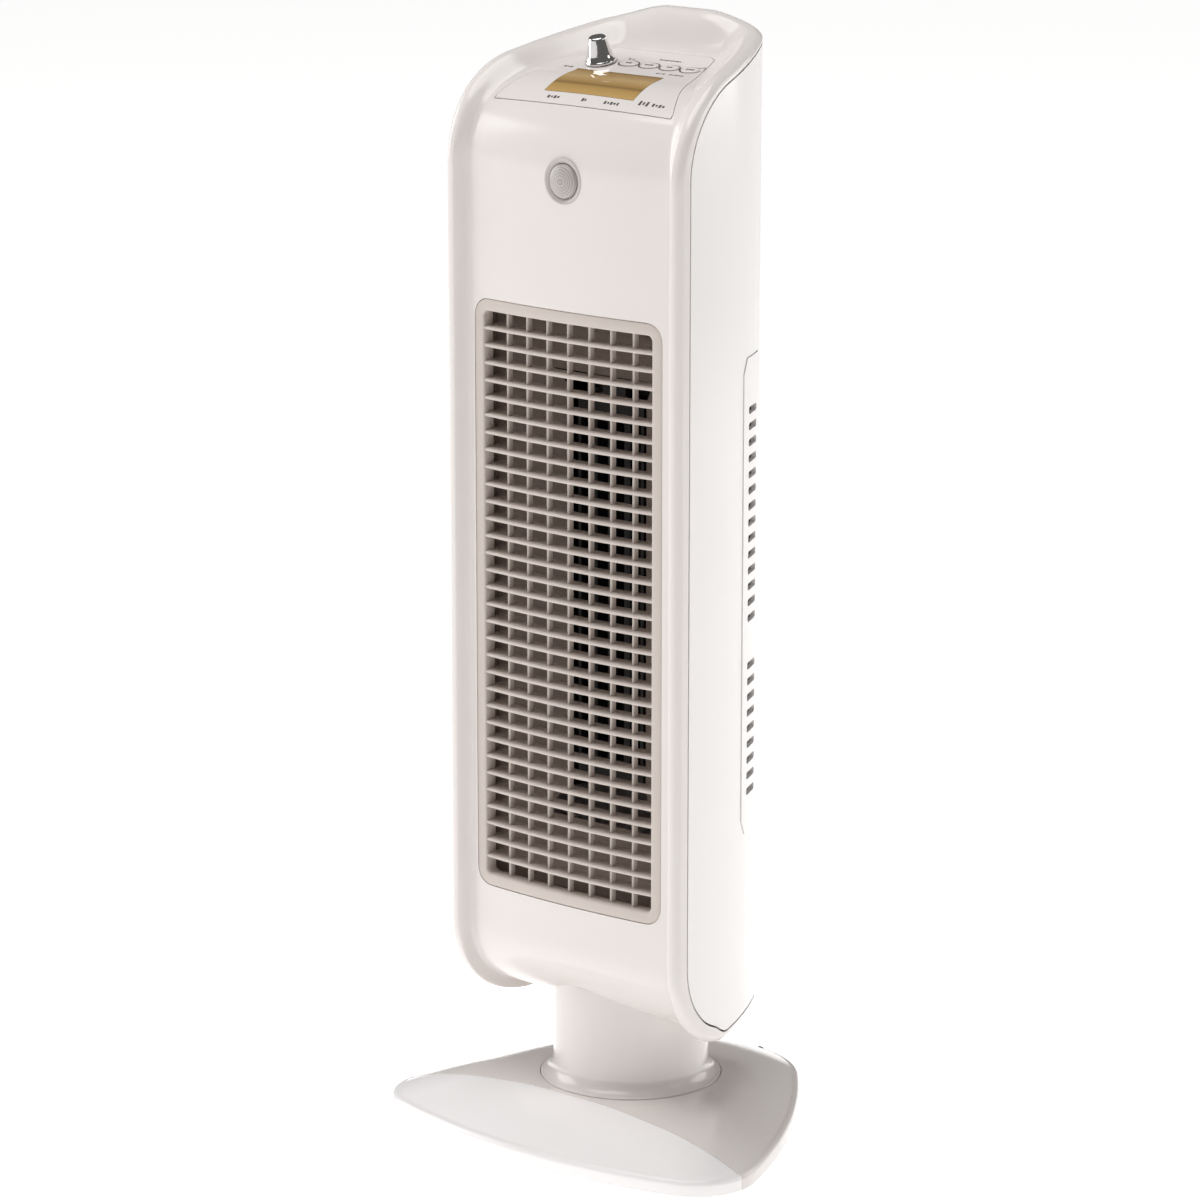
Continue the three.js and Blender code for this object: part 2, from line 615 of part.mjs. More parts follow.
// -- Vent covers: two slotted panels that clip into the rear shell.
const slotRows = [VENT_UPPER, VENT_LOWER]
  .flatMap(({ first, count }) => Array.from({ length: count }, (_, i) => first + VENT_PITCH * i));
const slotSpan = [VENT_SLOT_FROM, VENT_SLOT_TO]
  .map((share) => sideNormalAt(lerp(VENT_START_Y, VENT_END_Y, share)));
const slotCut = (z) => extrudeZ([
  ...arc(SIDE_CENTRE_X, BODY_FRONT, SIDE_RADIUS + REACH, slotSpan[0], slotSpan[1], 1),
  ...arc(SIDE_CENTRE_X, BODY_FRONT, SIDE_RADIUS - REACH, slotSpan[1], slotSpan[0], 1),
], z - VENT_SLOT_HEIGHT / 2, z + VENT_SLOT_HEIGHT / 2);
const ventBlank = ventBand(VENT_PROUD, WALL, 0);
const ventCover = slotRows.reduce((cover, z) => cover.subtract(slotCut(z)), ventBlank);
piece(tower, 'vent_cover_right', ventCover, white);
piece(tower, 'vent_cover_left', mirrorX(ventCover), white);

// -- Outlet grille: one moulding of a frame, level louvres and the upright fins that cross them.
const crownRadius = (BODY_HALF_WIDTH - RIM_WALL_FRONT) ** 2 / (2 * PANEL_CROWN);
const crownBow = (x) => x * x / (2 * crownRadius);
function crownBand(halfWidth, front, back, steps = 8) {
  const xs = Array.from({ length: steps + 1 }, (_, i) => lerp(-halfWidth, halfWidth, i / steps));
  return [
    ...xs.map((x) => [x, panelFrontY + crownBow(x) + front]),
    ...xs.reverse().map((x) => [x, panelFrontY + crownBow(x) + back]),
  ];
}
const innerHalf = GRILLE_WIDTH / 2 - GRILLE_BORDER;
const grilleTop = GRILLE_BOTTOM + GRILLE_HEIGHT;
const louvrePitch = (GRILLE_HEIGHT - 2 * GRILLE_BORDER) / (LOUVRE_COUNT + 1);
const frameBlank = extrudeZ(crownBand(GRILLE_WIDTH / 2, 0, GRILLE_THICKNESS), GRILLE_BOTTOM, grilleTop)
  .intersect(grilleOpening(0));
const frameHole = extrudeY(
  roundedRectangle(
    -innerHalf, innerHalf, GRILLE_BOTTOM + GRILLE_BORDER, grilleTop - GRILLE_BORDER,
    GRILLE_INNER_CORNER, 3,
  ),
  BODY_FRONT - OPENING_REACH, BODY_FRONT + OPENING_REACH,
);
const louvres = Array.from({ length: LOUVRE_COUNT }, (_, i) => {
  const z = GRILLE_BOTTOM + GRILLE_BORDER + louvrePitch * (i + 1);
  const band = crownBand(innerHalf + GRILLE_OVERLAP, LOUVRE_RECESS, LOUVRE_RECESS + LOUVRE_DEPTH, 4);
  return extrudeZ(band, z - LOUVRE_THICKNESS / 2, z + LOUVRE_THICKNESS / 2);
});
const finPitch = 2 * innerHalf / (FIN_COUNT + 1);
const fins = Array.from({ length: FIN_COUNT }, (_, i) => {
  const x = -innerHalf + finPitch * (i + 1);
  const front = panelFrontY + crownBow(x) + FIN_RECESS;
  return box(
    x - FIN_THICKNESS / 2, x + FIN_THICKNESS / 2, front, front + FIN_DEPTH,
    GRILLE_BOTTOM + GRILLE_BORDER - GRILLE_OVERLAP, grilleTop - GRILLE_BORDER + GRILLE_OVERLAP,
  );
});
const finSeat = [GRILLE_BOTTOM + GRILLE_BORDER, grilleTop - GRILLE_BORDER].map((z) => box(
  -innerHalf, innerHalf, panelFrontY + crownBow(innerHalf) + GRILLE_THICKNESS - GRILLE_OVERLAP,
  panelFrontY + FIN_RECESS + FIN_DEPTH, z - GRILLE_OVERLAP, z + GRILLE_OVERLAP,
));
const grille = union([frameBlank.subtract(frameHole), ...louvres, ...fins, ...finSeat]);
piece(tower, 'outlet_grille', grille, grilleGrey);

// -- Outlet duct: a funnel from the heater to the grille.
const grilleDepth = Math.max(LOUVRE_RECESS + LOUVRE_DEPTH, FIN_RECESS + FIN_DEPTH);
const ductFront = panelFrontY + crownBow(innerHalf) + grilleDepth + GAP;
const heaterFront = HEATER_BACK - HEATER_DEPTH;
function funnel(grow) {
  const corners = (halfX, z0, z1, y) => [[-halfX, z0], [halfX, z0], [halfX, z1], [-halfX, z1]]
    .map(([x, z]) => new THREE.Vector3(x, y, z));
  const spread = DUCT_MARGIN + grow;
  const mouth = (y) => corners(
    innerHalf + spread, GRILLE_BOTTOM + GRILLE_BORDER - spread, grilleTop - GRILLE_BORDER + spread, y);
  const throat = (y) => corners(HEATER_WIDTH / 2 + grow, HEATER_CENTRE_Z - HEATER_HEIGHT / 2 - grow,
    HEATER_CENTRE_Z + HEATER_HEIGHT / 2 + grow, y);
  const over = grow === 0 ? OVERLAP : 0;
  return loft([mouth(ductFront - over), mouth(ductFront + DUCT_MARGIN), throat(heaterFront - GAP + over)]);
}
piece(tower, 'outlet_duct', funnel(DUCT_WALL).subtract(funnel(0)), ductBrown);

// -- Ceramic heater: a stack of upright fin banks between end blocks.
const fanBottom = HEATER_CENTRE_Z - HEATER_HEIGHT / 2;
const fanTop = HEATER_CENTRE_Z + HEATER_HEIGHT / 2;
const heaterBlock = box(
  -HEATER_WIDTH / 2, HEATER_WIDTH / 2, heaterFront, HEATER_BACK, fanBottom, fanTop);
const bankPitch = HEATER_WIDTH / HEATER_BANKS;
const banks = Array.from({ length: HEATER_BANKS }, (_, i) => {
  const x = -HEATER_WIDTH / 2 + bankPitch * (i + 0.5);
  const half = bankPitch * HEATER_BANK_SHARE / 2;
  return box(x - half, x + half, heaterFront - OVERLAP, HEATER_BACK + OVERLAP,
    fanBottom + HEATER_END_BLOCK, fanTop - HEATER_END_BLOCK);
});
const ceramicHeater = banks.reduce((block, bank) => block.subtract(bank), heaterBlock);
piece(tower, 'ceramic_heater', ceramicHeater, ceramic);
const cutout = box(
  -CUTOUT.halfWidth, CUTOUT.halfWidth, heaterFront + CUTOUT.inset, HEATER_BACK - CUTOUT.inset,
  fanTop + GAP, fanTop + CUTOUT.height,
);
piece(tower, 'thermal_cutout', cutout, darkPlastic);

// -- Cross-flow fan: drum on a shaft, in a housing open to the heater and to the rear.
const blade = box(
  FAN_RADIUS - FAN_CLEARANCE * 0.2 - BLADE_DEPTH, FAN_RADIUS - FAN_CLEARANCE * 0.2,
  -BLADE_THICKNESS / 2, BLADE_THICKNESS / 2, fanBottom + OVERLAP, fanTop - OVERLAP,
);
const blades = Array.from({ length: FAN_BLADES }, (_, i) => blade.rotate([0, 0, 360 * i / FAN_BLADES]));
const fanDiscs = [fanBottom + OVERLAP, (fanBottom + fanTop) / 2, fanTop - OVERLAP]
  .map((z) => drum(FAN_RADIUS, z - FAN_DISC_THICKNESS / 2, z + FAN_DISC_THICKNESS / 2, 24));
const fanShaft = drum(SHAFT_RADIUS, fanBottom - SHAFT_BELOW_FAN, fanTop + SHAFT_ABOVE_FAN, 20);
const fanRotor = union([...fanDiscs, fanShaft, ...blades]).translate([0, FAN_CENTRE_Y, 0]);
piece(tower, 'fan_rotor', fanRotor, darkPlastic);

const housingInner = FAN_RADIUS + FAN_CLEARANCE;
const housingCheek = (from, to) => extrudeZ([
  ...arc(0, FAN_CENTRE_Y, housingInner + DUCT_WALL, from * TAU, to * TAU, 8),
  ...arc(0, FAN_CENTRE_Y, housingInner, to * TAU, from * TAU, 8),
], fanBottom - FAN_CLEARANCE, fanTop + FAN_CLEARANCE);
const shaftBore = (z0, z1) => drum(SHAFT_RADIUS + RUNNING_CLEARANCE, z0, z1, 20);
const plateHalf = housingInner + END_PLATE_MARGIN;
const endPlate = (z0) => extrudeZ(
  roundedRectangle(
    -plateHalf, plateHalf, HEATER_BACK + GAP, FAN_CENTRE_Y + housingInner, END_PLATE_CORNER, 4),
  z0, z0 + END_PLATE_THICKNESS,
).subtract(shaftBore(z0 - OVERLAP, z0 + END_PLATE_THICKNESS + OVERLAP).translate([0, FAN_CENTRE_Y, 0]));
const endPlateFoot = FAN_CLEARANCE - END_PLATE_THICKNESS / 5;
const fanHousing = union([
  housingCheek(CHEEK_FROM, CHEEK_TO),
  housingCheek(0.5 - CHEEK_TO, 0.5 - CHEEK_FROM),
  endPlate(fanBottom - endPlateFoot - END_PLATE_THICKNESS),
  endPlate(fanTop + endPlateFoot),
]);
piece(tower, 'fan_housing', fanHousing, darkPlastic);

const motorBottom = fanTop + endPlateFoot + END_PLATE_THICKNESS + GAP;
const fanMotor = drum(FAN_MOTOR_RADIUS, motorBottom, motorBottom + FAN_MOTOR_HEIGHT, 32)
  .subtract(shaftBore(motorBottom - OVERLAP, fanTop + SHAFT_ABOVE_FAN + OVERLAP))
  .translate([0, FAN_CENTRE_Y, 0]);
piece(tower, 'fan_motor', fanMotor, steel);
const bearingTop = fanBottom - endPlateFoot - END_PLATE_THICKNESS - GAP;
const fanBearing = drum(BEARING_RADIUS, bearingTop - BEARING_HEIGHT, bearingTop, 24)
  .subtract(shaftBore(fanBottom - SHAFT_BELOW_FAN - GAP, bearingTop + OVERLAP))
  .translate([0, FAN_CENTRE_Y, 0]);
piece(tower, 'fan_bearing', fanBearing, nylon);

// -- Control tray: plate, display window, four buttons, knob and the board below.
const displayPrism = (clearance) => extrudeZ([
  [-DISPLAY.halfWidth - clearance, DISPLAY.centreY - DISPLAY.length / 2 - clearance],
  [DISPLAY.halfWidth + clearance, DISPLAY.centreY - DISPLAY.length / 2 - clearance],
  [DISPLAY.halfWidth + clearance, DISPLAY.centreY + DISPLAY.length / 2 + clearance],
  [-DISPLAY.halfWidth - clearance, DISPLAY.centreY + DISPLAY.length / 2 + clearance],
], BROW_Z, HEIGHT + REACH);
const plate = platePrism(PLATE_CLEARANCE).intersect(surfaceBand(0, PLATE_THICKNESS))
  .subtract(displayPrism(GAP))
  .subtract(buttonHoles)
  .subtract(knobHole);
piece(tower, 'control_plate', plate, warmWhite);
const displayWindow = displayPrism(0).intersect(surfaceBand(-RUNNING_CLEARANCE, PLATE_THICKNESS));
piece(tower, 'display_window', displayWindow, displayGold);

for (let i = 0; i < BUTTON_COUNT; i += 1) {
  const cap = extrudeZ(
    ovalOutline(BUTTON_HALF_LENGTH, BUTTON_HALF_WIDTH), BUTTON_PROUD - BUTTON_HEIGHT, BUTTON_PROUD);
  piece(tower, `button_${i + 1}`, onTray(cap, buttonX(i), BUTTON_Y), warmWhite);
}

const knobCone = turned([
  [0, KNOB.lift], [KNOB.baseRadius - 0.8, KNOB.lift], [KNOB.baseRadius, KNOB.lift + 0.8],
  [KNOB.topRadius + 0.6, KNOB.height - 1.5], [KNOB.topRadius - 1, KNOB.height], [0, KNOB.height],
], 40);
piece(tower, 'knob', onTray(knobCone, KNOB.x, KNOB.y), chrome);
const knobShaft = drum(KNOB_SHAFT_RADIUS, -KNOB_SHAFT_LENGTH, KNOB.lift - GAP, 24);
piece(tower, 'knob_shaft', onTray(knobShaft, KNOB.x, KNOB.y), steel);

const board = box(-BOARD.halfWidth, BOARD.halfWidth, BOARD.front, BOARD.back,
  -BOARD.depth - BOARD.thickness, -BOARD.depth);
piece(tower, 'control_board', onTray(board, 0, 0), boardGreen);

// -- Presence sensor: a dished bezel with a domed lens.
const bezel = lyingDrum(SENSOR_DISH_RADIUS, panelFrontY, panelFrontY + SENSOR_DEPTH, sensorZ)
  .subtract(lyingDrum(SENSOR_RADIUS + GAP, panelFrontY - REACH, panelFrontY + REACH, sensorZ));
piece(tower, 'sensor_bezel', bezel, grilleGrey);
const lensProfile = [
  [0, -SENSOR_DEPTH], [SENSOR_RADIUS, -SENSOR_DEPTH], [SENSOR_RADIUS, 0],
  ...[0.9, 0.7, 0.45, 0.2].map((share) => [SENSOR_RADIUS * share, LENS_DOME * Math.sqrt(1 - share ** 2)]),
  [0, LENS_DOME],
];
const lens = turned(lensProfile, 32).rotate([90, 0, 0]).translate([0, panelFrontY, sensorZ]);
piece(tower, 'sensor_lens', lens, lensGrey);

// -- Neck: a flared tube under the body that turns in the base, with the drive gear inside.
const neckTop = BODY_BOTTOM + CHIN_RADIUS * 0.6;
const footBottom = DECK_HEIGHT - NECK_FOOT_THICKNESS;
const neckBlank = turned([
  [NECK_BORE, footBottom], [NECK_FOOT_RADIUS, footBottom], [NECK_FOOT_RADIUS, DECK_HEIGHT],
  ...arc(NECK_RADIUS + NECK_FLARE, DECK_HEIGHT + NECK_FLARE, NECK_FLARE, TAU * 0.72, TAU / 2, 5)
    .map(([r, z]) => [Math.min(r, NECK_FOOT_RADIUS), z]),
  [NECK_RADIUS, neckTop], [NECK_RADIUS - NECK_WALL, neckTop],
  [NECK_RADIUS - NECK_WALL, footBottom + NECK_WALL], [NECK_BORE, footBottom + NECK_WALL],
  [NECK_BORE, footBottom],
], 44);
piece(tower, 'neck', neckBlank.subtract(body.translate([0, 0, -GAP])), warmWhite);

function gearOutline(teeth, phase) {
  const pitch = GEAR_MODULE * teeth / 2;
  const root = pitch - 1.3 * GEAR_MODULE;
  const tip = pitch + 0.8 * GEAR_MODULE;
  const basis = pitch * Math.cos(PRESSURE_ANGLE);
  const involute = (angle) => Math.tan(angle) - angle;
  const thin = 0.12 / pitch;
  const flank = (r) => TAU / (4 * teeth) - thin + involute(PRESSURE_ANGLE)
    - involute(Math.acos(Math.min(basis / r, 1)));
  const radii = [Math.max(basis, root), pitch, tip];
  const points = [];
  for (let i = 0; i < teeth; i += 1) {
    const centre = phase + TAU * i / teeth;
    const half = TAU / (4 * teeth);
    const at = (r, angle) => points.push([r * Math.cos(angle), r * Math.sin(angle)]);
    at(root, centre - half * 1.15);
    for (const r of radii) at(r, centre - flank(r));
    for (const r of [...radii].reverse()) at(r, centre + flank(r));
    at(root, centre + half * 1.15);
  }
  return points;
}
const gearBottom = footBottom - GAP - GEAR_THICKNESS;
const gearCentres = GEAR_MODULE * (GEAR_TEETH + PINION_TEETH) / 2;
const swingGear = extrudeZ(gearOutline(GEAR_TEETH, 0), gearBottom, gearBottom + GEAR_THICKNESS)
  .subtract(drum(NECK_BORE, gearBottom - OVERLAP, gearBottom + GEAR_THICKNESS + OVERLAP, 32));
piece(tower, 'swing_gear', swingGear, nylon);

const base = new THREE.Group();
base.position.y = NECK_Y;
heater.add(base);
const pinionPhase = TAU / 2 + TAU / (2 * PINION_TEETH);
const pinion = extrudeZ(gearOutline(PINION_TEETH, pinionPhase), gearBottom, gearBottom + GEAR_THICKNESS)
  .translate([gearCentres, 0, 0]);
piece(base, 'swing_pinion', pinion, nylon);

// -- Base: a domed two-part cover on a flat plate, with rubber feet and an iron weight.
// Its outline is a front arc, two tight corners, two long sides and a rear arc.
const frontArcY = BASE_FRONT + FRONT_ARC;
const cornerX = BASE_HALF_WIDTH - CORNER_ARC;
const cornerY = frontArcY - Math.sqrt((FRONT_ARC - CORNER_ARC) ** 2 - cornerX ** 2);
const rearArcY = BASE_BACK - REAR_ARC;
const sideCentre = innerCentre(
  [cornerX, cornerY], SIDE_ARC - CORNER_ARC, [0, rearArcY], SIDE_ARC - REAR_ARC);

// The point at two given distances from two centres, on their left
function innerCentre([ax, ay], ra, [bx, by], rb) {
  const d = Math.hypot(bx - ax, by - ay);
  const along = (ra ** 2 - rb ** 2 + d ** 2) / (2 * d);
  const across = Math.sqrt(ra ** 2 - along ** 2);
  const ux = (bx - ax) / d;
  const uy = (by - ay) / d;
  return [ax + along * ux - across * uy, ay + along * uy + across * ux];
}

function baseOutline(inset) {
  const [sx, sy] = sideCentre;
  const frontTurn = Math.atan2(cornerY - frontArcY, cornerX);
  const cornerTurn = Math.atan2(cornerY - sy, cornerX - sx);
  const rearTurn = Math.atan2(rearArcY - sy, -sx);
  const half = [
    ...arc(0, frontArcY, FRONT_ARC - inset, -TAU / 4, frontTurn, 4),
    ...arc(cornerX, cornerY, CORNER_ARC - inset, frontTurn, cornerTurn, 6).slice(1),
    ...arc(sx, sy, SIDE_ARC - inset, cornerTurn, rearTurn, 3).slice(1),
    ...arc(0, rearArcY, REAR_ARC - inset, rearTurn, TAU / 4, 6).slice(1),
  ];
  return [...half, ...mirrored(half).slice(1, -1)];
}

// The dome: rings from the outline in to the deck round the neck
function baseDome(sink, bottom) {
  const ring = (inset, z) => baseOutline(inset).map(([x, y]) => new THREE.Vector3(x, y, z));
  const deck = NECK_FOOT_RADIUS + 6;
  const towards = (share) => baseOutline(BASE_EDGE_ROUND + sink).map(([x, y]) => {
    const r = Math.hypot(x, y);
    const reach = lerp(r, deck, share);
    const z = lerp(BASE_WALL_TOP, DECK_HEIGHT, 1 - (1 - share) ** 1.7) - sink;
    return new THREE.Vector3(x * reach / r, y * reach / r, z);
  });
  return loft([
    ring(sink, bottom),
    ring(sink, BASE_WALL_TOP - BASE_EDGE_ROUND - sink),
    ring(BASE_EDGE_ROUND * 0.29 + sink, BASE_WALL_TOP - BASE_EDGE_ROUND * 0.29 - sink),
    ...[0, 0.15, 0.32, 0.5, 0.7, 0.85, 1].map(towards),
  ]);
}
const dome = baseDome(0, FOOT_HEIGHT).subtract(baseDome(WALL, FOOT_HEIGHT - OVERLAP));
const deckHole = drum(NECK_FOOT_RADIUS + PLATE_CLEARANCE, 0, DECK_HEIGHT + REACH, 56);
const seamSlot = (y0, y1) => box(
  -BASE_HALF_WIDTH - REACH, BASE_HALF_WIDTH + REACH, y0, y1, 0, DECK_HEIGHT + REACH);
const glandZ = FOOT_HEIGHT + GLAND_HEIGHT;
const glandHole = drum(GLAND_RADIUS + GAP, -REACH / 2, REACH / 2, 24)
  .rotate([90, 0, 0]).translate([0, BASE_BACK, glandZ]);
const baseFront = dome.intersect(seamSlot(BASE_FRONT - REACH, BASE_SEAM_Y - GAP / 2));
const baseRear = dome.intersect(seamSlot(BASE_SEAM_Y + GAP / 2, BASE_BACK + REACH))
  .subtract(deckHole)
  .subtract(glandHole);
piece(base, 'base_front', baseFront, white);
piece(base, 'base_rear', baseRear, warmWhite);

const bothSides = (places) => places.flatMap(([x, y]) => [[x, y], [-x, y]]);
const at = (manifold, [x, y]) => manifold.translate([x, y, 0]);
const plateBottom = FOOT_HEIGHT + FOOT_RECESS;
const plateTop = plateBottom + BASE_PLATE_THICKNESS;
const plungerHole = box(
  -PLUNGER.halfWidth - OVERLAP, PLUNGER.halfWidth + OVERLAP,
  -PLUNGER.halfLength - OVERLAP, PLUNGER.halfLength + OVERLAP, 0, REACH,
);
const floorPlate = extrudeZ(baseOutline(WALL + PLATE_RECESS), plateBottom, plateTop)
  .subtract(at(plungerHole, SWITCH_PLACE));
const screwHole = drum(SCREW_RADIUS + GAP, 0, REACH, 16);
const basePlate = bothSides(SCREW_PLACES)
  .reduce((sum, place) => sum.subtract(at(screwHole, place)), floorPlate);
piece(base, 'base_plate', basePlate, darkPlastic);

const touchGap = GAP / 6;
const foot = drum(FOOT_RADIUS - 0.8, 0, plateBottom - touchGap, 20, FOOT_RADIUS);
bothSides(FOOT_PLACES).forEach((place, i) => piece(base, `foot_${i + 1}`, at(foot, place), rubber));

const screwHead = drum(SCREW_HEAD_RADIUS, plateBottom - SCREW_HEAD_HEIGHT, plateBottom - touchGap, 16);
const screw = screwHead.add(drum(SCREW_RADIUS, FOOT_HEIGHT, plateTop + SCREW_HEAD_HEIGHT, 12));
bothSides(SCREW_PLACES).forEach((place, i) => piece(base, `base_screw_${i + 1}`, at(screw, place), steel));

const weightOutline = roundedRectangle(
  -WEIGHT.halfWidth, WEIGHT.halfWidth, WEIGHT.front, WEIGHT.back, WEIGHT.corner, 3);
const weight = extrudeZ(weightOutline, plateTop + GAP, plateTop + GAP + WEIGHT.thickness);
piece(base, 'base_weight', weight, castIron);

// The neck's foot runs on a ring that stands on the base plate, round the swing motor.
const ringTop = footBottom - GAP;
const ringInner = gearCentres + SWING_MOTOR_RADIUS + MOTOR_CLEARANCE;
const ringOuter = ringInner + BEARING_RING_WIDTH;
const bearingRing = turned([
  [ringInner, plateTop + GAP], [ringOuter, plateTop + GAP], [ringOuter, ringTop],
  [ringInner, ringTop], [ringInner, plateTop + GAP],
], 40);
piece(base, 'bearing_ring', bearingRing, nylon);

const swingMotor = drum(SWING_MOTOR_RADIUS, plateTop + GAP, gearBottom - OVERLAP, 28)
  .translate([gearCentres, 0, 0]);
piece(base, 'swing_motor', swingMotor, steel);

const gland = drum(GLAND_RADIUS, -GLAND_LENGTH / 2, GLAND_LENGTH / 2, 20)
  .subtract(drum(GLAND_BORE, -GLAND_LENGTH, GLAND_LENGTH, 16))
  .rotate([90, 0, 0]).translate([0, BASE_BACK - GLAND_LENGTH / 2, glandZ]);
piece(base, 'cord_gland', gland, darkPlastic);

// Tip-over switch: its plunger rests on the floor and springs out when the heater is lifted.
const plungerBore = box(
  -PLUNGER.halfWidth - SLIDE_CLEARANCE, PLUNGER.halfWidth + SLIDE_CLEARANCE,
  -PLUNGER.halfLength - SLIDE_CLEARANCE, PLUNGER.halfLength + SLIDE_CLEARANCE, 0, REACH,
);
const switchBody = box(
  -SWITCH.halfWidth, SWITCH.halfWidth, -SWITCH.halfLength, SWITCH.halfLength,
  plateTop + GAP, plateTop + GAP + SWITCH.height,
).subtract(plungerBore);
piece(base, 'tip_switch', at(switchBody, SWITCH_PLACE), darkPlastic);
const plunger = box(-PLUNGER.halfWidth, PLUNGER.halfWidth, -PLUNGER.halfLength, PLUNGER.halfLength,
  PLUNGER.floorGap, plateTop + PLUNGER.above);
piece(base, 'tip_plunger', at(plunger, SWITCH_PLACE), rubber);

export default heater;
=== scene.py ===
import bmesh
import bpy
import math
from mathutils import Matrix, Vector
from mathutils.bvhtree import BVHTree


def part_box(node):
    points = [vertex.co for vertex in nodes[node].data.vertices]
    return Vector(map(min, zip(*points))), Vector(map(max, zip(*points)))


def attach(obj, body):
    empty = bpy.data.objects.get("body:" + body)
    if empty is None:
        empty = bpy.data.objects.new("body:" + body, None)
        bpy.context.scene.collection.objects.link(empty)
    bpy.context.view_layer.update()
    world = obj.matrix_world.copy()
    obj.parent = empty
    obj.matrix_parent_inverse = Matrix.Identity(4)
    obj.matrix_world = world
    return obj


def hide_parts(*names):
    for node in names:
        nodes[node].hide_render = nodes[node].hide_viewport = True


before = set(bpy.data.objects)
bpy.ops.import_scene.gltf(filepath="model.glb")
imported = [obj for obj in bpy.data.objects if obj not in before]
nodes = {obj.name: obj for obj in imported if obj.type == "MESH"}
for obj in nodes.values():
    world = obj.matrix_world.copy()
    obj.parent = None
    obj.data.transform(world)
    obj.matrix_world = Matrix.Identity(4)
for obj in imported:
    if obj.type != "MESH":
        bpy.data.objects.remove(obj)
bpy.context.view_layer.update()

# ---- Camera, floor and studio light ---------------------------------------------------------
# A long lens looks a little down on the heater, which stands on a plain white floor. Large soft
# lights are in front on the left, behind on the right and overhead, and a small one is on the right.
looked_at = Vector((-0.0145, -0.0240, 0.3388))
camera_turn = math.radians(39.82)
camera_rise = math.radians(13.96)
camera_distance = 3.034
camera_lens = 147.3
lit_height = 0.35


def linear(colour):
    """An sRGB hex colour as linear red, green, blue and alpha."""
    parts = [int(colour[i:i + 2], 16) / 255 for i in (1, 3, 5)]
    return [c / 12.92 if c <= 0.04045 else ((c + 0.055) / 1.055) ** 2.4 for c in parts] + [1.0]


def add(tree, kind, inputs=None, **settings):
    """Adds a node: settings are its properties, inputs are numbers, colours or sockets to link."""
    node = tree.nodes.new(kind)
    for name, value in settings.items():
        setattr(node, name, value)
    for key, value in (inputs or {}).items():
        if isinstance(value, bpy.types.NodeSocket):
            tree.links.new(value, node.inputs[key])
        else:
            node.inputs[key].default_value = value
    return node


def direction(turn, rise):
    """A unit vector: turn goes round from the front to the right, rise is above the floor."""
    return Vector((math.sin(turn) * math.cos(rise), -math.cos(turn) * math.cos(rise),
                   math.sin(rise)))


back = direction(camera_turn, camera_rise)
camera = bpy.data.objects.new("camera", bpy.data.cameras.new("camera"))
camera.data.sensor_width = 36.0
camera.data.lens = camera_lens
camera.data.clip_end = 100.0
camera.location = looked_at + back * camera_distance
camera.rotation_mode = "QUATERNION"
camera.rotation_quaternion = (-back).to_track_quat("-Z", "Y")
bpy.context.scene.collection.objects.link(camera)
bpy.context.scene.camera = camera
bpy.context.scene.view_settings.view_transform = "Standard"


def soft_light(name, turn, rise, distance, size, power):
    """A square softbox that faces the heater: angles in degrees, metres and watts."""
    light = bpy.data.lights.new(name, "AREA")
    light.shape = "SQUARE"
    light.size = size
    light.energy = power
    lamp = bpy.data.objects.new(name, light)
    away = direction(math.radians(turn), math.radians(rise))
    lamp.location = Vector((0, 0, lit_height)) + away * distance
    lamp.rotation_mode = "QUATERNION"
    lamp.rotation_quaternion = (-away).to_track_quat("-Z", "Y")
    bpy.context.scene.collection.objects.link(lamp)


soft_light("front_softbox", -70, 18, 2.6, 1.6, 26)
soft_light("rear_softbox", 156, 14, 2.4, 1.3, 12)
soft_light("right_strip", 112, 30, 2.3, 0.6, 2.5)
soft_light("top_softbox", -20, 78, 2.6, 2.2, 52)

world = bpy.data.worlds.new("studio")
world.use_nodes = True
world.node_tree.nodes["Background"].inputs["Color"].default_value = linear("#FFFDFB")
world.node_tree.nodes["Background"].inputs["Strength"].default_value = 0.13
bpy.context.scene.world = world

floor_mesh = bmesh.new()
bmesh.ops.create_grid(floor_mesh, x_segments=1, y_segments=1, size=20.0)
floor_data = bpy.data.meshes.new("floor")
floor_mesh.to_mesh(floor_data)
floor_mesh.free()
floor = bpy.data.objects.new("floor", floor_data)
bpy.context.scene.collection.objects.link(floor)
# Matt white paint, with a glow of its own so that the floor stays white under the heater.
floor_paint = bpy.data.materials.new("white_floor_paint")
floor_paint.use_nodes = True
floor_shader = floor_paint.node_tree.nodes["Principled BSDF"]
floor_shader.inputs["Base Color"].default_value = linear("#FBFAF9")
floor_shader.inputs["Roughness"].default_value = 0.7
floor_shader.inputs["Emission Color"].default_value = linear("#FFFFFF")
floor_shader.inputs["Emission Strength"].default_value = 0.83
floor_data.materials.append(floor_paint)

# ---- Base cover -----------------------------------------------------------------------------
# A low dome in two injection-moulded ABS covers, polished: a white crescent at the front and a
# warm white piece behind it, clipped together along a straight seam. The outline is a front arc,
# two tight corners, two long sides and a rear arc.
neck_low, neck_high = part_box("neck")
axis = Vector((0, (neck_low.y + neck_high.y) / 2, 0))
gap = 0.0003
wall = 0.0026
base_low, base_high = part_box("base_rear")
base_bottom = base_low.z
deck_height = base_high.z
base_front_y = -0.112
base_back_y = 0.134
base_half_width = 0.138
base_wall_top = 0.0126
base_edge = 0.004
front_arc = 0.380
corner_arc = 0.039
side_arc = 0.480
rear_arc = 0.064
seam_y = -0.061
neck_foot_radius = 0.057
deck_margin = 0.006
deck_gap = 0.0005
dome_curve = 1.7
seam_lip = 0.0005
edge_rings = 8
dome_rings = 30
weld_distance = 0.00008


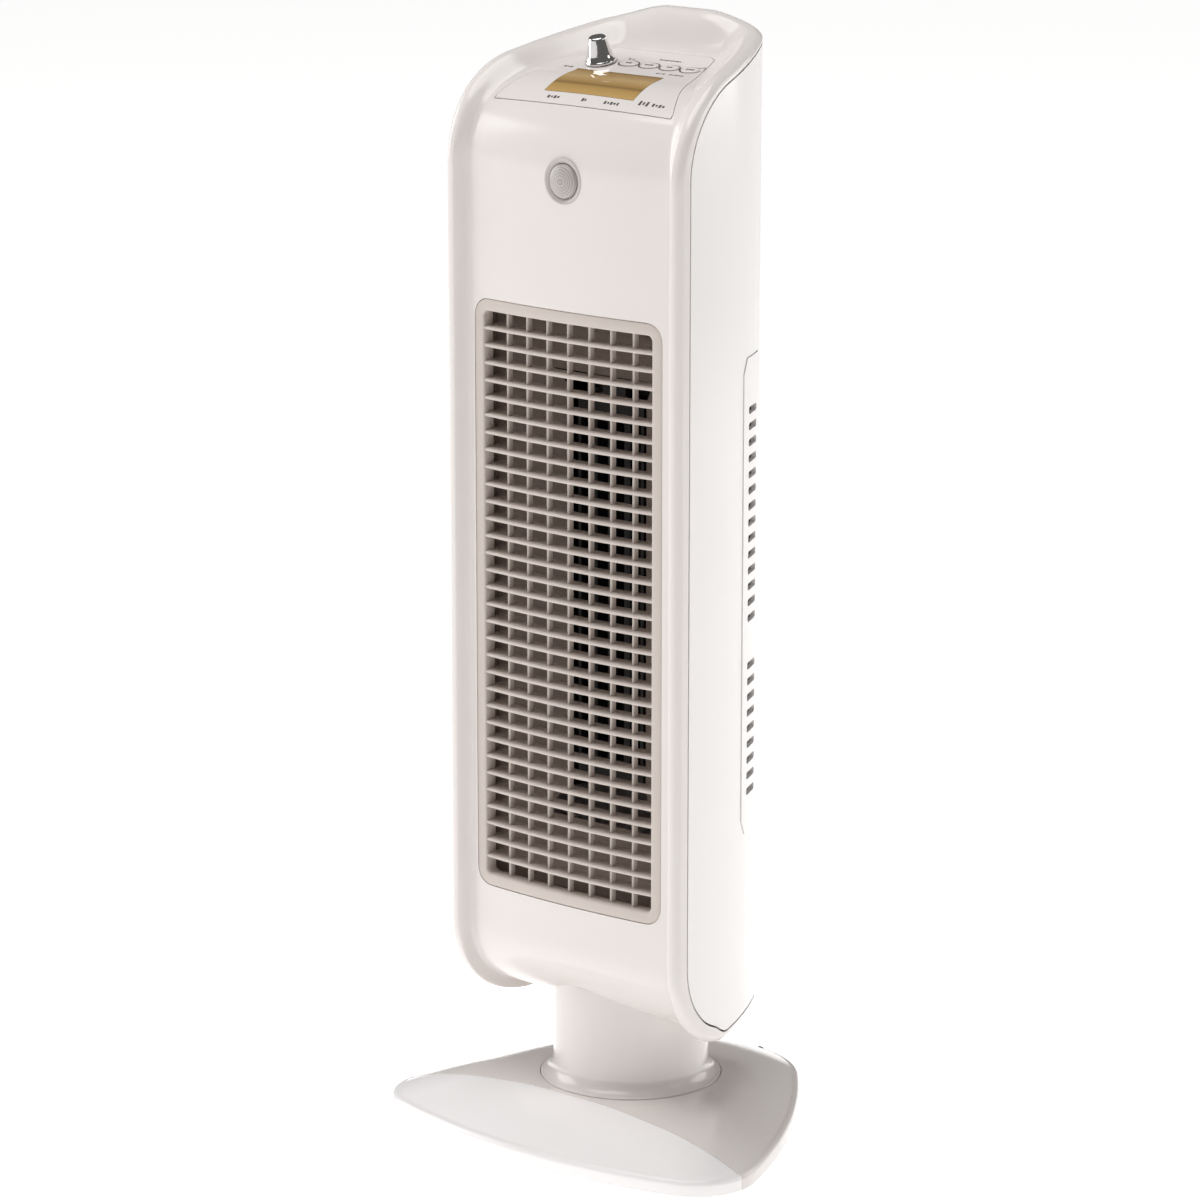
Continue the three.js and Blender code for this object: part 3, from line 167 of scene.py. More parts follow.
def new_finish(name):
    """A material, its node tree, its shader and its place in object coordinates."""
    material = bpy.data.materials.new(name)
    material.use_nodes = True
    tree = material.node_tree
    place = add(tree, "ShaderNodeTexCoord").outputs["Object"]
    return material, tree, tree.nodes["Principled BSDF"], place


def moulded_plastic(name, colour, shade, roughness, grain, depth):
    """Injection-moulded plastic: a faint drift of colour, and a fine grain from the tool's surface
    that breaks up the highlights. grain and depth are in metres."""
    material, tree, shader, place = new_finish(name)
    drift = add(tree, "ShaderNodeTexNoise", {"Vector": place, "Scale": 14.0, "Detail": 2.0})
    tint = add(tree, "ShaderNodeMix", {
        "Factor": drift.outputs["Fac"], 6: linear(colour), 7: linear(shade)}, data_type="RGBA")
    surface = add(tree, "ShaderNodeTexNoise", {"Vector": place, "Scale": 1 / grain, "Detail": 3.0})
    gloss = add(tree, "ShaderNodeMapRange", {
        "Value": surface.outputs["Fac"], "To Min": roughness * 0.85, "To Max": roughness * 1.15})
    bump = add(tree, "ShaderNodeBump", {
        "Height": surface.outputs["Fac"], "Distance": depth, "Strength": 0.6})
    tree.links.new(tint.outputs[2], shader.inputs["Base Color"])
    tree.links.new(gloss.outputs["Result"], shader.inputs["Roughness"])
    tree.links.new(bump.outputs["Normal"], shader.inputs["Normal"])
    shader.inputs["IOR"].default_value = 1.53
    return material


# ABS from polished moulds: reflections with soft edges, on a skin whose only texture is a faint
# ripple about 3 mm wide.
abs_gloss = 0.16
mould_ripple = 0.0030
ripple_depth = 0.00003
polished_warm_abs = moulded_plastic(
    "polished_warm_white_abs", "#E6E0DD", "#E2DBD7", abs_gloss, mould_ripple, ripple_depth)
polished_white_abs = moulded_plastic(
    "polished_white_abs", "#EFECEA", "#EBE7E5", abs_gloss, mould_ripple, ripple_depth)


def piece(name, mesh, material, body, slot, *stands_for, sharp=30):
    """Makes the bmesh an object that rides on a body, and stands for CAD nodes if any are named."""
    limit = math.radians(sharp)
    for face in mesh.faces:
        face.smooth = True
    for edge in mesh.edges:
        edge.smooth = edge.calc_face_angle(0) < limit
    data = bpy.data.meshes.new(name)
    mesh.to_mesh(data)
    mesh.free()
    data.materials.append(material)
    made = bpy.data.objects.new(name, data)
    bpy.context.scene.collection.objects.link(made)
    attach(made, body)
    if stands_for:
        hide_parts(*stands_for)
    return made


def move(mesh, offset):
    bmesh.ops.translate(mesh, vec=offset, verts=mesh.verts)


def outward(mesh):
    """Closes a mesh's seams and poles, and turns its faces outwards."""
    bmesh.ops.remove_doubles(mesh, verts=mesh.verts, dist=1e-6)
    bmesh.ops.recalc_face_normals(mesh, faces=mesh.faces)


def thicken(mesh, depth):
    """Gives an open skin a wall on its inner side."""
    bmesh.ops.remove_doubles(mesh, verts=mesh.verts, dist=weld_distance)
    mesh.normal_update()
    made = bmesh.ops.extrude_face_region(mesh, geom=mesh.faces[:], use_keep_orig=True)
    inner = [v for v in made["geom"] if isinstance(v, bmesh.types.BMVert)]
    for vert in inner:
        vert.co = vert.co - vert.normal * depth
    bmesh.ops.recalc_face_normals(mesh, faces=mesh.faces)


def soften(mesh, edges, radius, segments=2):
    """Rounds edges, as a mould does."""
    bmesh.ops.bevel(mesh, geom=edges, offset=radius, offset_type="OFFSET", segments=segments,
                    profile=0.5, affect="EDGES", material=-1, clamp_overlap=True)


def arc(cx, cy, radius, start, end, steps):
    """Points along an arc, from one angle to another."""
    return [Vector((cx + radius * math.cos(start + (end - start) * i / steps),
                    cy + radius * math.sin(start + (end - start) * i / steps)))
            for i in range(steps + 1)]


front_arc_y = base_front_y + front_arc
corner_x = base_half_width - corner_arc
corner_y = front_arc_y - math.sqrt((front_arc - corner_arc) ** 2 - corner_x ** 2)
rear_arc_y = base_back_y - rear_arc


def side_centre():
    """Centre of the long side's arc, which meets the corner arc and the rear arc."""
    near, far = side_arc - corner_arc, side_arc - rear_arc
    across = Vector((0 - corner_x, rear_arc_y - corner_y))
    length = across.length
    along = (near ** 2 - far ** 2 + length ** 2) / (2 * length)
    off = math.sqrt(near ** 2 - along ** 2)
    unit = across / length
    return Vector((corner_x, corner_y)) + unit * along + Vector((-unit.y, unit.x)) * off


def base_outline(inset):
    """Right half of the outline, from the middle of the front to the middle of the back."""
    centre = side_centre()
    front_turn = math.atan2(corner_y - front_arc_y, corner_x)
    corner_turn = math.atan2(corner_y - centre.y, corner_x - centre.x)
    rear_turn = math.atan2(rear_arc_y - centre.y, -centre.x)
    return (arc(0, front_arc_y, front_arc - inset, -math.pi / 2, front_turn, 26)
            + arc(corner_x, corner_y, corner_arc - inset, front_turn, corner_turn, 22)[1:]
            + arc(centre.x, centre.y, side_arc - inset, corner_turn, rear_turn, 36)[1:]
            + arc(0, rear_arc_y, rear_arc - inset, rear_turn, math.pi / 2, 26)[1:])


def closed_ring(half):
    """The right half of an outline, with its mirror image."""
    return half + [Vector((-p.x, p.y)) for p in reversed(half[1:-1])]


def base_cover():
    """The whole dome as a skin: a wall, a rounded edge and rings that rise to the deck."""
    rings = [[(p.x, p.y, z) for p in closed_ring(base_outline(inset))] for inset, z in
             [(0, base_bottom), (0, base_wall_top - base_edge)]]
    for i in range(1, edge_rings + 1):
        turn = math.pi / 2 * i / edge_rings
        inset = base_edge * (1 - math.cos(turn))
        z = base_wall_top - base_edge * (1 - math.sin(turn))
        rings.append([(p.x, p.y, z) for p in closed_ring(base_outline(inset))])
    edge = closed_ring(base_outline(base_edge))
    deck = neck_foot_radius + deck_margin
    for i in range(1, dome_rings + 1):
        share = i / dome_rings
        z = base_wall_top + (deck_height - base_wall_top) * (1 - (1 - share) ** dome_curve)
        rings.append([(*(p * ((p.length + (deck - p.length) * share) / p.length)), z) for p in edge])
    rings.append([(*(p.normalized() * (neck_foot_radius + deck_gap)), deck_height) for p in edge])
    mesh = bmesh.new()
    around = len(rings[0])
    bmesh.ops.create_grid(mesh, x_segments=around, y_segments=len(rings) - 1, size=1.0)
    for vert in mesh.verts:
        column = round((vert.co.x + 1) / 2 * around) % around
        row = round((vert.co.y + 1) / 2 * (len(rings) - 1))
        vert.co = Vector(rings[row][column])
    outward(mesh)
    return mesh


def base_half(name, keep_front, material, slot):
    """One of the two covers, cut from the dome at the seam, with a lip rounded where they meet."""
    mesh = base_cover()
    side = -1 if keep_front else 1
    bmesh.ops.bisect_plane(
        mesh, geom=mesh.verts[:] + mesh.edges[:] + mesh.faces[:], dist=1e-7,
        plane_co=(0, seam_y + side * gap / 2, 0), plane_no=(0, -side, 0), clear_outer=True)
    seam = [e for e in mesh.edges if e.is_boundary
            and all(abs(v.co.y - seam_y) < gap for v in e.verts)]
    kept = [v.co.copy() for e in seam for v in e.verts]
    thicken(mesh, wall)
    near = {tuple(round(c, 6) for c in co) for co in kept}
    lip = [e for e in mesh.edges if all(tuple(round(c, 6) for c in v.co) in near for v in e.verts)]
    soften(mesh, lip, seam_lip)
    move(mesh, axis)
    piece(name, mesh, material, "base", slot, name)


# The same polished white ABS with painted light: a brighter white that lifts the crescent off the
# piece behind it.
white_abs_painted_lighter = moulded_plastic(
    "polished_white_abs_painted_lighter", "#FAF8F8", "#F6F3F2", abs_gloss, mould_ripple, ripple_depth)
base_half("base_front", True, white_abs_painted_lighter, "white_abs")
base_half("base_rear", False, polished_warm_abs, "warm_white_abs")

# ---- Neck -----------------------------------------------------------------------------------
# A polished ABS tube that flares into a round foot. It turns in the deck of the base and carries
# the tower.
neck_radius = 0.0489
neck_wall = 0.003
neck_flare = 0.010
neck_top = neck_high.z
foot_floor = neck_low.z
foot_edge = 0.0007
neck_lip = 0.0005
flare_start = math.tau * 0.70


def spun(profile, segments):
    """A [radius, height] profile turned round the vertical axis."""
    mesh = bmesh.new()
    points = [mesh.verts.new((r, 0, z)) for r, z in profile]
    edges = [mesh.edges.new(pair) for pair in zip(points, points[1:])]
    bmesh.ops.spin(mesh, geom=points + edges, cent=(0, 0, 0), axis=(0, 0, 1), dvec=(0, 0, 0),
                   angle=math.tau, steps=segments, use_merge=True, use_duplicate=False)
    outward(mesh)
    return mesh


flare = [(p.x, p.y) for p in arc(neck_radius + neck_flare, deck_height + neck_flare, neck_flare,
                                 flare_start, math.tau / 2, 14)]
neck_profile = [
    (neck_radius - neck_wall, foot_floor), (neck_foot_radius, foot_floor),
    *[(p.x, p.y) for p in arc(neck_foot_radius - foot_edge, deck_height, foot_edge,
                              0, math.pi / 2, 4)],
    (flare[0][0], deck_height + foot_edge), *flare[1:],
    (neck_radius, neck_top - neck_lip), (neck_radius - neck_lip, neck_top),
    (neck_radius - neck_wall, neck_top), (neck_radius - neck_wall, foot_floor),
]
round_segments = 128
neck_mesh = spun(neck_profile, round_segments)
move(neck_mesh, axis)
piece("neck", neck_mesh, polished_warm_abs, "tower", "warm_white_abs", "neck")

# ---- Front shell ----------------------------------------------------------------------------
# One glossy warm white ABS moulding: the two side rims, the panel that lies between them, the
# control tray on top and the underside. It is screwed to the rear shell from inside.
# The rims' crest line in side view, and the body in plan.
height = 0.700
crest_rise = 0.008
crest_start_y = 0.010
crest_end_inset = 0.005
crest_middle = 0.37
crest_outer = 0.84
half_width = 0.092
front_y = -0.068
back_y = 0.060
bottom = 0.074
chin_rise = 0.006
side_radius = 0.240
corner_radius = 0.030
brow_radius = 0.066
chin_radius = 0.058
slope = math.radians(13.9)
# How far the panel and the tray lie in from the crest, and the seam with the rear shell.
rim_round = 0.005
rim_crest = 0.007
rim_wall_front = 0.0125
rim_wall_tray = 0.030
panel_depth = 0.0075
brow_depth = 0.0055
tray_depth = 0.0108
tray_fade = 0.052
tray_front_share = 0.8
panel_crown = 0.0047
seam_front = 0.010
seam_top = 0.0053
seam_bottom = 0.0053
seam_fade = 0.020
chin_fade = 0.8

side_x = half_width - side_radius
corner_plan_y = back_y - corner_radius
corner_plan_x = side_x + math.sqrt(
    (side_radius - corner_radius) ** 2 - (corner_plan_y - front_y) ** 2)
corner_start = math.atan2(corner_plan_y - front_y, corner_plan_x - side_x)
rim_back_height = height - crest_rise + rim_round * math.tan(slope)
chin_y = front_y + chin_radius
brow_y = front_y + brow_radius
brow_z = rim_back_height - (back_y - brow_y) * math.tan(slope) - brow_radius / math.cos(slope)
brow_end_y = brow_y - brow_radius * math.sin(slope)
chin_top = bottom + chin_radius
straight = brow_z - chin_top
brow_length = brow_radius * (math.pi / 2 - slope)


def mix(a, b, share):
    return a + (b - a) * share


def clamp(value, low=0.0, high=1.0):
    return max(low, min(high, value))


def ramp(value, start, end):
    share = clamp((value - start) / (end - start))
    return share * share * (3 - 2 * share)


def half_width_at(y):
    """Half the body's width: straight rims in front, arcs at the sides, round corners behind."""
    if y <= front_y:
        return half_width
    if y < corner_plan_y + corner_radius * math.sin(corner_start):
        return side_x + math.sqrt(side_radius ** 2 - (y - front_y) ** 2)
    return corner_plan_x + math.sqrt(max(corner_radius ** 2 - (y - corner_plan_y) ** 2, 0))


def in_corner(x, y):
    dx, dy = abs(x) - corner_plan_x, y - corner_plan_y
    return dx >= 0 and dy > 0 and math.atan2(dy, dx) > corner_start


def inset_at(x, y):
    """How far a plan point lies in from the side and rear faces."""
    if in_corner(x, y):
        return corner_radius - math.hypot(abs(x) - corner_plan_x, y - corner_plan_y)
    side = half_width - abs(x)
    if y > front_y:
        side = side_radius - math.hypot(abs(x) - side_x, y - front_y)
    return min(side, back_y - y)


def on_face(x, y):
    """The plan point moved straight onto the side or rear face."""
    sign = math.copysign(1, x)
    if in_corner(x, y):
        arm = Vector((abs(x) - corner_plan_x, y - corner_plan_y)).normalized() * corner_radius
        return sign * (corner_plan_x + arm.x), corner_plan_y + arm.y
    if abs(x) < corner_plan_x and y > corner_plan_y + corner_radius / 2:
        return x, back_y
    if y <= front_y:
        return sign * half_width, y
    arm = Vector((abs(x) - side_x, y - front_y)).normalized() * side_radius
    return sign * (side_x + arm.x), front_y + arm.y


def tray_share(y):
    """The tray's depth at a place, as a share: its foot is a little shallower in front."""
    return mix(tray_front_share, 1.0, clamp((y - brow_end_y) / tray_fade))


def crest(v):
    """The line of the rim crest, v metres along it from the top of the chin: place (y, z), inward
    direction (y, z), depth of the panel, its crown, width of the rim's wall and share of tray."""
    if v < -chin_radius * math.pi / 2:
        y = chin_y - v - chin_radius * math.pi / 2
        share = (y - chin_y) / (back_y - chin_y)
        return (y, bottom + chin_rise * share, 0, 1, mix(panel_depth, panel_depth - chin_rise, share),
                0, rim_wall_front, 0)
    if v < 0:
        turn = math.pi - v / chin_radius
        sin, cos = math.sin(turn), math.cos(turn)
        return (chin_y + chin_radius * cos, chin_top + chin_radius * sin, -cos, -sin, panel_depth,
                panel_crown * (1 - ramp(-sin, 0, chin_fade)), rim_wall_front, 0)
    if v < straight:
        return front_y, chin_top + v, 1, 0, panel_depth, panel_crown, rim_wall_front, 0
    foot_depth = tray_depth * tray_share(brow_end_y)
    foot_wall = rim_wall_tray * tray_share(brow_end_y)
    if v < straight + brow_length:
        turn = (v - straight) / brow_length
        angle = math.pi - (v - straight) / brow_radius
        depth = mix(panel_depth, brow_depth, turn * 2)
        if turn > 0.5:
            depth = mix(brow_depth, foot_depth, turn * 2 - 1)
        return (brow_y + brow_radius * math.cos(angle), brow_z + brow_radius * math.sin(angle),
                -math.cos(angle), -math.sin(angle), depth, panel_crown * (1 - turn),
                mix(rim_wall_front, foot_wall, turn), turn)
    y = brow_end_y + (v - straight - brow_length) * math.cos(slope)
    return (y, rim_back_height - (back_y - y) * math.tan(slope), math.sin(slope), -math.cos(slope),
            tray_depth * tray_share(y), 0, rim_wall_tray * tray_share(y), 1)


def depth_at(station, x):
    """How far the moulded surface lies in from the crest line."""
    y, _, _, _, depth, crown, wall_width, tray = station
    inset = inset_at(x, y)
    floor_share = ramp(inset, rim_crest, wall_width)
    panel_half = max(half_width_at(y) - wall_width, 0.001)
    bulge = crown * max(1 - (x / panel_half) ** 2, 0)
    rise = (crest_rise * tray * ramp(y, crest_start_y, back_y - crest_end_inset)
            * ramp(half_width - abs(x), half_width * crest_middle, half_width * crest_outer))
    edge = clamp(rim_round - inset, 0, rim_round)
    over = rim_round - math.sqrt(rim_round ** 2 - edge ** 2)
    return (depth - bulge) * floor_share - rise * (1 - floor_share) + over


def seam_depth(station):
    """How far the seam with the rear shell lies in from the crest line."""
    y, z, tray = station[0], station[1], station[7]
    under = ramp(y, chin_y - seam_fade, chin_y) if z < brow_z else 0
    return mix(mix(seam_front, seam_top, tray), seam_bottom, under)


def steps(start, end, count):
    return [mix(start, end, i / count) for i in range(1, count + 1)]


# Rows run along the crest line, columns across it. Past the edge of the rims the columns and the
# last rows go down the side and rear faces to the seam.
face_steps = 3
brow_rows = 0.018
narrowest = 0.3
floor_half = half_width - rim_wall_front
across = ([*steps(0, floor_half, 34), *steps(floor_half, half_width - rim_crest, 10),
           half_width - rim_crest + 0.001]
          + [half_width - rim_round * (1 - math.cos(math.pi / 2 * i / 9)) for i in range(9, -1, -1)])
across = [-u for u in reversed(across)] + [0] + across
slope_v = straight + brow_length


def v_at(y):
    """How far along the crest line a place on its upper slope is."""
    return slope_v + (y - brow_end_y) / math.cos(slope)


corner_foot = corner_plan_y + corner_radius * math.sin(corner_start)
# The first rows lie close together, where the edge below the back is round.
along = ([-chin_radius * math.pi / 2 - (back_y - chin_y) + offset for offset in
          (0, 0.0002, 0.0007, 0.0015, 0.0025, 0.0037, 0.005)])
along += steps(along[-1], -chin_radius * math.pi / 2, 14)
along += steps(along[-1], 0, 30)
along += steps(0, straight - brow_rows, 110)
along += steps(along[-1], slope_v, 58)
along += steps(slope_v, v_at(corner_plan_y), 26)
along += steps(v_at(corner_plan_y), v_at(corner_foot), 9)
along += [v_at(corner_plan_y + corner_radius * math.sin(mix(corner_start, math.pi / 2, i / 28)))
          for i in range(1, 29)]


def spread(u, station):
    """The column's distance from the middle, where the rims come closer together."""
    y, wall_width = station[0], station[6]
    half = half_width_at(y)
    size = abs(u)
    if size <= floor_half:
        x = size / floor_half * max(half - wall_width, narrowest * half)
    elif size <= half_width - rim_crest:
        share = (size - floor_half) / (half_width - rim_crest - floor_half)
        x = mix(max(half - wall_width, narrowest * half), half - rim_crest, share)
    else:
        x = half - (half_width - size)
    return math.copysign(x, u)


def shell_point(column, row):
    """Where a column and a row of the skin cross."""
    side_step = max(face_steps - column, column - (face_steps + len(across) - 1), 0)
    back_step = max(row - (len(along) - 1), 0)
    u = across[min(max(column - face_steps, 0), len(across) - 1)]
    station = crest(along[min(row, len(along) - 1)])
    y, z, in_y, in_z = station[:4]
    x = spread(u, station)
    depth = depth_at(station, x)
    face_share = max(side_step, back_step) / face_steps
    depth = mix(depth, max(seam_depth(station) - gap / 2, depth), face_share)
    px, py, pz = x, y + in_y * depth, z + in_z * depth
    if face_share or inset_at(px, py) < 0 or abs(u) == half_width:
        px, py = on_face(px, py)
    return Vector((px, py, pz))


def shell_skin():
    """The front shell's whole outer skin, before any opening is cut in it."""
    columns = len(across) + 2 * face_steps
    rows = len(along) + face_steps
    mesh = bmesh.new()
    bmesh.ops.create_grid(mesh, x_segments=columns - 1, y_segments=rows - 1, size=1.0)
    spare = []
    for face in mesh.faces:
        centre = face.calc_center_median()
        column = (centre.x + 1) / 2 * (columns - 1)
        row = (centre.y + 1) / 2 * (rows - 1)
        past_side = column < face_steps or column > columns - 1 - face_steps
        if past_side and row > len(along) - 1:
            spare.append(face)
    bmesh.ops.delete(mesh, geom=spare, context="FACES")
    for vert in mesh.verts:
        column = round((vert.co.x + 1) / 2 * (columns - 1))
        row = round((vert.co.y + 1) / 2 * (rows - 1))
        vert.co = shell_point(column, row)
    bmesh.ops.remove_doubles(mesh, verts=mesh.verts, dist=2e-6)
    bmesh.ops.recalc_face_normals(mesh, faces=mesh.faces)
    return mesh


skin = shell_skin()
skin_tree = BVHTree.FromBMesh(skin)
FRONT, TOP = "front", "top"
sharp_corner = 0.5


def flat(point, seen_from):
    """The point as seen from the front (x, z) or from above (x, y)."""
    return Vector((point.x, point.z)) if seen_from == FRONT else Vector((point.x, point.y))


def on_skin(p, seen_from):
    """The place on the front shell's skin straight behind or below a flat point."""
    if seen_from == FRONT:
        return skin_tree.ray_cast(Vector((p.x, -1, p.y)), Vector((0, 1, 0)))[0]
    return skin_tree.ray_cast(Vector((p.x, p.y, 2)), Vector((0, 0, -1)))[0]


def inside(p, outline):
    """Whether a flat point lies inside a closed outline."""
    crossings = 0
    for a, b in zip(outline, outline[1:] + outline[:1]):
        if (a.y > p.y) != (b.y > p.y) and p.x < a.x + (p.y - a.y) / (b.y - a.y) * (b.x - a.x):
            crossings += 1
    return crossings % 2 == 1


def nearest(p, outline):
    """The place on a closed outline that is nearest to a flat point."""
    best = None
    for a, b in zip(outline, outline[1:] + outline[:1]):
        run = b - a
        share = clamp((p - a).dot(run) / run.length_squared)
        spot = a + run * share
        if best is None or (spot - p).length < (best - p).length:
            best = spot
    return best


def trim(mesh, outlines, seen_from, keep_inside, limit=0.55, reach=0.006):
    """Cuts a skin along closed outlines: keeps what is inside them, or what is outside. limit keeps
    the cut off the far side of the body, and reach is how far a corner of the net may move."""
    frames = [(min(p.x for p in o), max(p.x for p in o), min(p.y for p in o), max(p.y for p in o), o)
              for o in outlines]

    def near_side(centre):
        return centre.y < 0 if seen_from == FRONT else centre.z > limit

    def within(p):
        return any(x0 <= p.x <= x1 and y0 <= p.y <= y1 and inside(p, outline)
                   for x0, x1, y0, y1, outline in frames)

    gone = []
    for face in mesh.faces:
        centre = face.calc_center_median()
        hit = near_side(centre) and within(flat(centre, seen_from))
        if hit != keep_inside:
            gone.append(face)
    bmesh.ops.delete(mesh, geom=gone, context="FACES")
    edge = []
    for vert in mesh.verts:
        if vert.is_boundary and near_side(vert.co):
            p = flat(vert.co, seen_from)
            spot = min((nearest(p, outline) for outline in outlines), key=lambda q: (q - p).length)
            if (spot - p).length < reach:
                edge.append(vert)
                vert.co = on_skin(spot, seen_from) or vert.co
    for outline in outlines:
        turned = zip(outline[-1:] + outline[:-1], outline, outline[1:] + outline[:1])
        for before, corner, after in turned:
            if (corner - before).angle(after - corner) > sharp_corner and edge:
                closest = min(edge, key=lambda v: (flat(v.co, seen_from) - corner).length)
                closest.co = on_skin(corner, seen_from) or closest.co
    bmesh.ops.dissolve_degenerate(mesh, dist=1e-6, edges=mesh.edges)


def rounded(x0, x1, y0, y1, radius, count=8):
    """A rectangle with round corners."""
    quarter = math.pi / 2
    return (arc(x1 - radius, y1 - radius, radius, 0, quarter, count)
            + arc(x0 + radius, y1 - radius, radius, quarter, 2 * quarter, count)
            + arc(x0 + radius, y0 + radius, radius, 2 * quarter, 3 * quarter, count)
            + arc(x1 - radius, y0 + radius, radius, 3 * quarter, 4 * quarter, count))


def circle(cx, cy, radius, count=64):
    return arc(cx, cy, radius, 0, math.tau, count)[:-1]


grille_low, grille_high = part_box("outlet_grille")
grille_half = grille_high.x
grille_corner = 0.011
sensor_low, sensor_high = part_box("sensor_lens")
sensor_z = (sensor_low.z + sensor_high.z) / 2
sensor_lens_radius = sensor_high.x
sensor_dish_radius = 0.0135
plate_front_y = -0.048
plate_back_y = 0.030
plate_gap = 0.00045
plate_bow = 0.0016
plate_corner = 0.006


def plate_outline(inset):
    """The control plate follows the foot of the tray's walls. Its front edge bows forward."""
    def edge(y):
        turn = ramp(y, front_y - 0.010, brow_end_y)
        return half_width_at(y) - mix(rim_wall_front, rim_wall_tray, turn) - inset

    right = []
    for share in (0.03, 0.12, 0.25, 0.4, 0.55, 0.7, 0.85, 0.95):
        y = mix(plate_front_y + inset, plate_back_y - inset, share)
        right.append(Vector((edge(y), y)))
    rear = Vector((right[-1].x - plate_corner, plate_back_y - inset))
    start = right[0]
    front = [Vector((start.x * t, plate_front_y + inset + plate_bow * (t * t - 1))) for t in
             (1, 0.95, 0.8, 0.6, 0.4, 0.2)]
    half = front[::-1] + right + [rear]
    return half + [Vector((-p.x, p.y)) for p in reversed(half)]


grille_opening = rounded(-grille_half - gap, grille_half + gap, grille_low.z - gap,
                         grille_high.z + gap, grille_corner + gap, 10)
plate_opening = plate_outline(0)

shell = skin.copy()
trim(shell, [grille_opening], FRONT, keep_inside=False)
trim(shell, [circle(0, sensor_z, sensor_dish_radius)], FRONT, keep_inside=False)
trim(shell, [plate_opening], TOP, keep_inside=False)
front_wall = wall * 0.75
thicken(shell, front_wall)
move(shell, axis)
piece("front_shell", shell, polished_warm_abs, "tower", "warm_white_abs", "front_shell", sharp=40)

# ---- Rear shell -----------------------------------------------------------------------------
# The white sides and back in one polished ABS moulding, with an opening on each side for the air
# intake. It meets the front shell at a fine dark seam that runs round the sides, top and bottom.
vent_low, vent_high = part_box("vent_cover_right")
vent_front = 0.010
vent_back = 0.039
seam_groove = 0.0010
vent_corner = 0.006
vent_corner_height = 0.0096
bend_depth = 0.062
off_middle = 0.03
levels = 150


def seam_line(upper):
    """Side view of the rear shell's edge at the seam, from the front of the shell to its back."""
    if upper:
        rows = [straight + (slope_v - straight) * i / 60 for i in range(61)]
        rows += [v_at(mix(brow_end_y, back_y, i / 40)) for i in range(1, 41)]
    else:
        rows = [-chin_radius * math.pi / 2 * i / 60 for i in range(61)]
        rows += [rows[-1] - (back_y - chin_y) * i / 20 for i in range(1, 21)]
    line = []
    for v in rows:
        station = crest(v)
        depth = seam_depth(station) + seam_groove
        line.append((station[0] + station[2] * depth, station[1] + station[3] * depth))
    return line


upper_seam, lower_seam = seam_line(True), seam_line(False)


def seam_height(y, line):
    """The height of a seam line at a place between the front and the back."""
    for (y0, z0), (y1, z1) in zip(line, line[1:]):
        if y0 <= y <= y1 and y1 > y0:
            return mix(z0, z1, (y - y0) / (y1 - y0))
    return line[0][1] if y < line[0][0] else line[-1][1]


seam_front_y = upper_seam[0][0]


def rear_plan():
    """Plan points of the rear shell, from the seam on the right round the back to the left."""
    right = []
    for i in range(20):
        y = seam_front_y + bend_depth * (1 - math.cos(math.pi / 2 * i / 20))
        right.append(Vector((half_width_at(y), y)))
    y = seam_front_y + bend_depth
    right += [Vector((half_width_at(t), t)) for t in [y, *steps(y, corner_foot, 18)]]
    right += [Vector((corner_plan_x + corner_radius * math.cos(a),
                      corner_plan_y + corner_radius * math.sin(a)))
              for a in steps(corner_start, math.pi / 2, 20)]
    rear = [Vector((x, back_y)) for x in steps(corner_plan_x, 0, 12)]
    half = right + rear
    return half + [Vector((-p.x, p.y)) for p in reversed(half[:-1])]


plan = rear_plan()
rear = bmesh.new()
bmesh.ops.create_grid(rear, x_segments=len(plan) - 1, y_segments=levels, size=1.0)
for vert in rear.verts:
    p = plan[round((vert.co.x + 1) / 2 * (len(plan) - 1))]
    share = (vert.co.y + 1) / 2
    z = mix(seam_height(p.y, lower_seam), seam_height(p.y, upper_seam), share)
    vert.co = Vector((p.x, p.y, z))
bmesh.ops.remove_doubles(rear, verts=rear.verts, dist=1e-6)
bmesh.ops.recalc_face_normals(rear, faces=rear.faces)


def side_point(y, z, side, proud=0.0):
    """A point on the curved side face, at a height."""
    arm = Vector((half_width_at(y) - side_x, y - front_y)).normalized() * (side_radius + proud)
    return Vector((side * (side_x + arm.x), front_y + arm.y, z))


def trim_side(mesh, outline, side, reach=0.006):
    """Cuts the opening for an intake cover in one side of the rear shell; outline is (y, z)."""
    gone = [f for f in mesh.faces if f.calc_center_median().x * side > off_middle
            and inside(Vector(f.calc_center_median().yz), outline)]
    bmesh.ops.delete(mesh, geom=gone, context="FACES")
    for vert in mesh.verts:
        if vert.is_boundary and vert.co.x * side > off_middle:
            p = Vector(vert.co.yz)
            spot = nearest(p, outline)
            if (spot - p).length < reach:
                vert.co = side_point(spot.x, spot.y, side)


def vent_outline(grow):
    """The cover's outline, with its two front corners cut off."""
    y0, y1 = vent_front - grow, vent_back + grow
    z0, z1 = vent_low.z - grow, vent_high.z + grow
    across, up = vent_corner, vent_corner_height
    return [Vector(p) for p in ((y1, z0), (y1, z1), (y0 + across, z1), (y0, z1 - up),
                                (y0, z0 + up), (y0 + across, z0))]


for side in (1, -1):
    trim_side(rear, vent_outline(gap), side)
thicken(rear, wall)
move(rear, axis)
piece("rear_shell", rear, polished_white_abs, "tower", "white_abs", "rear_shell", sharp=40)

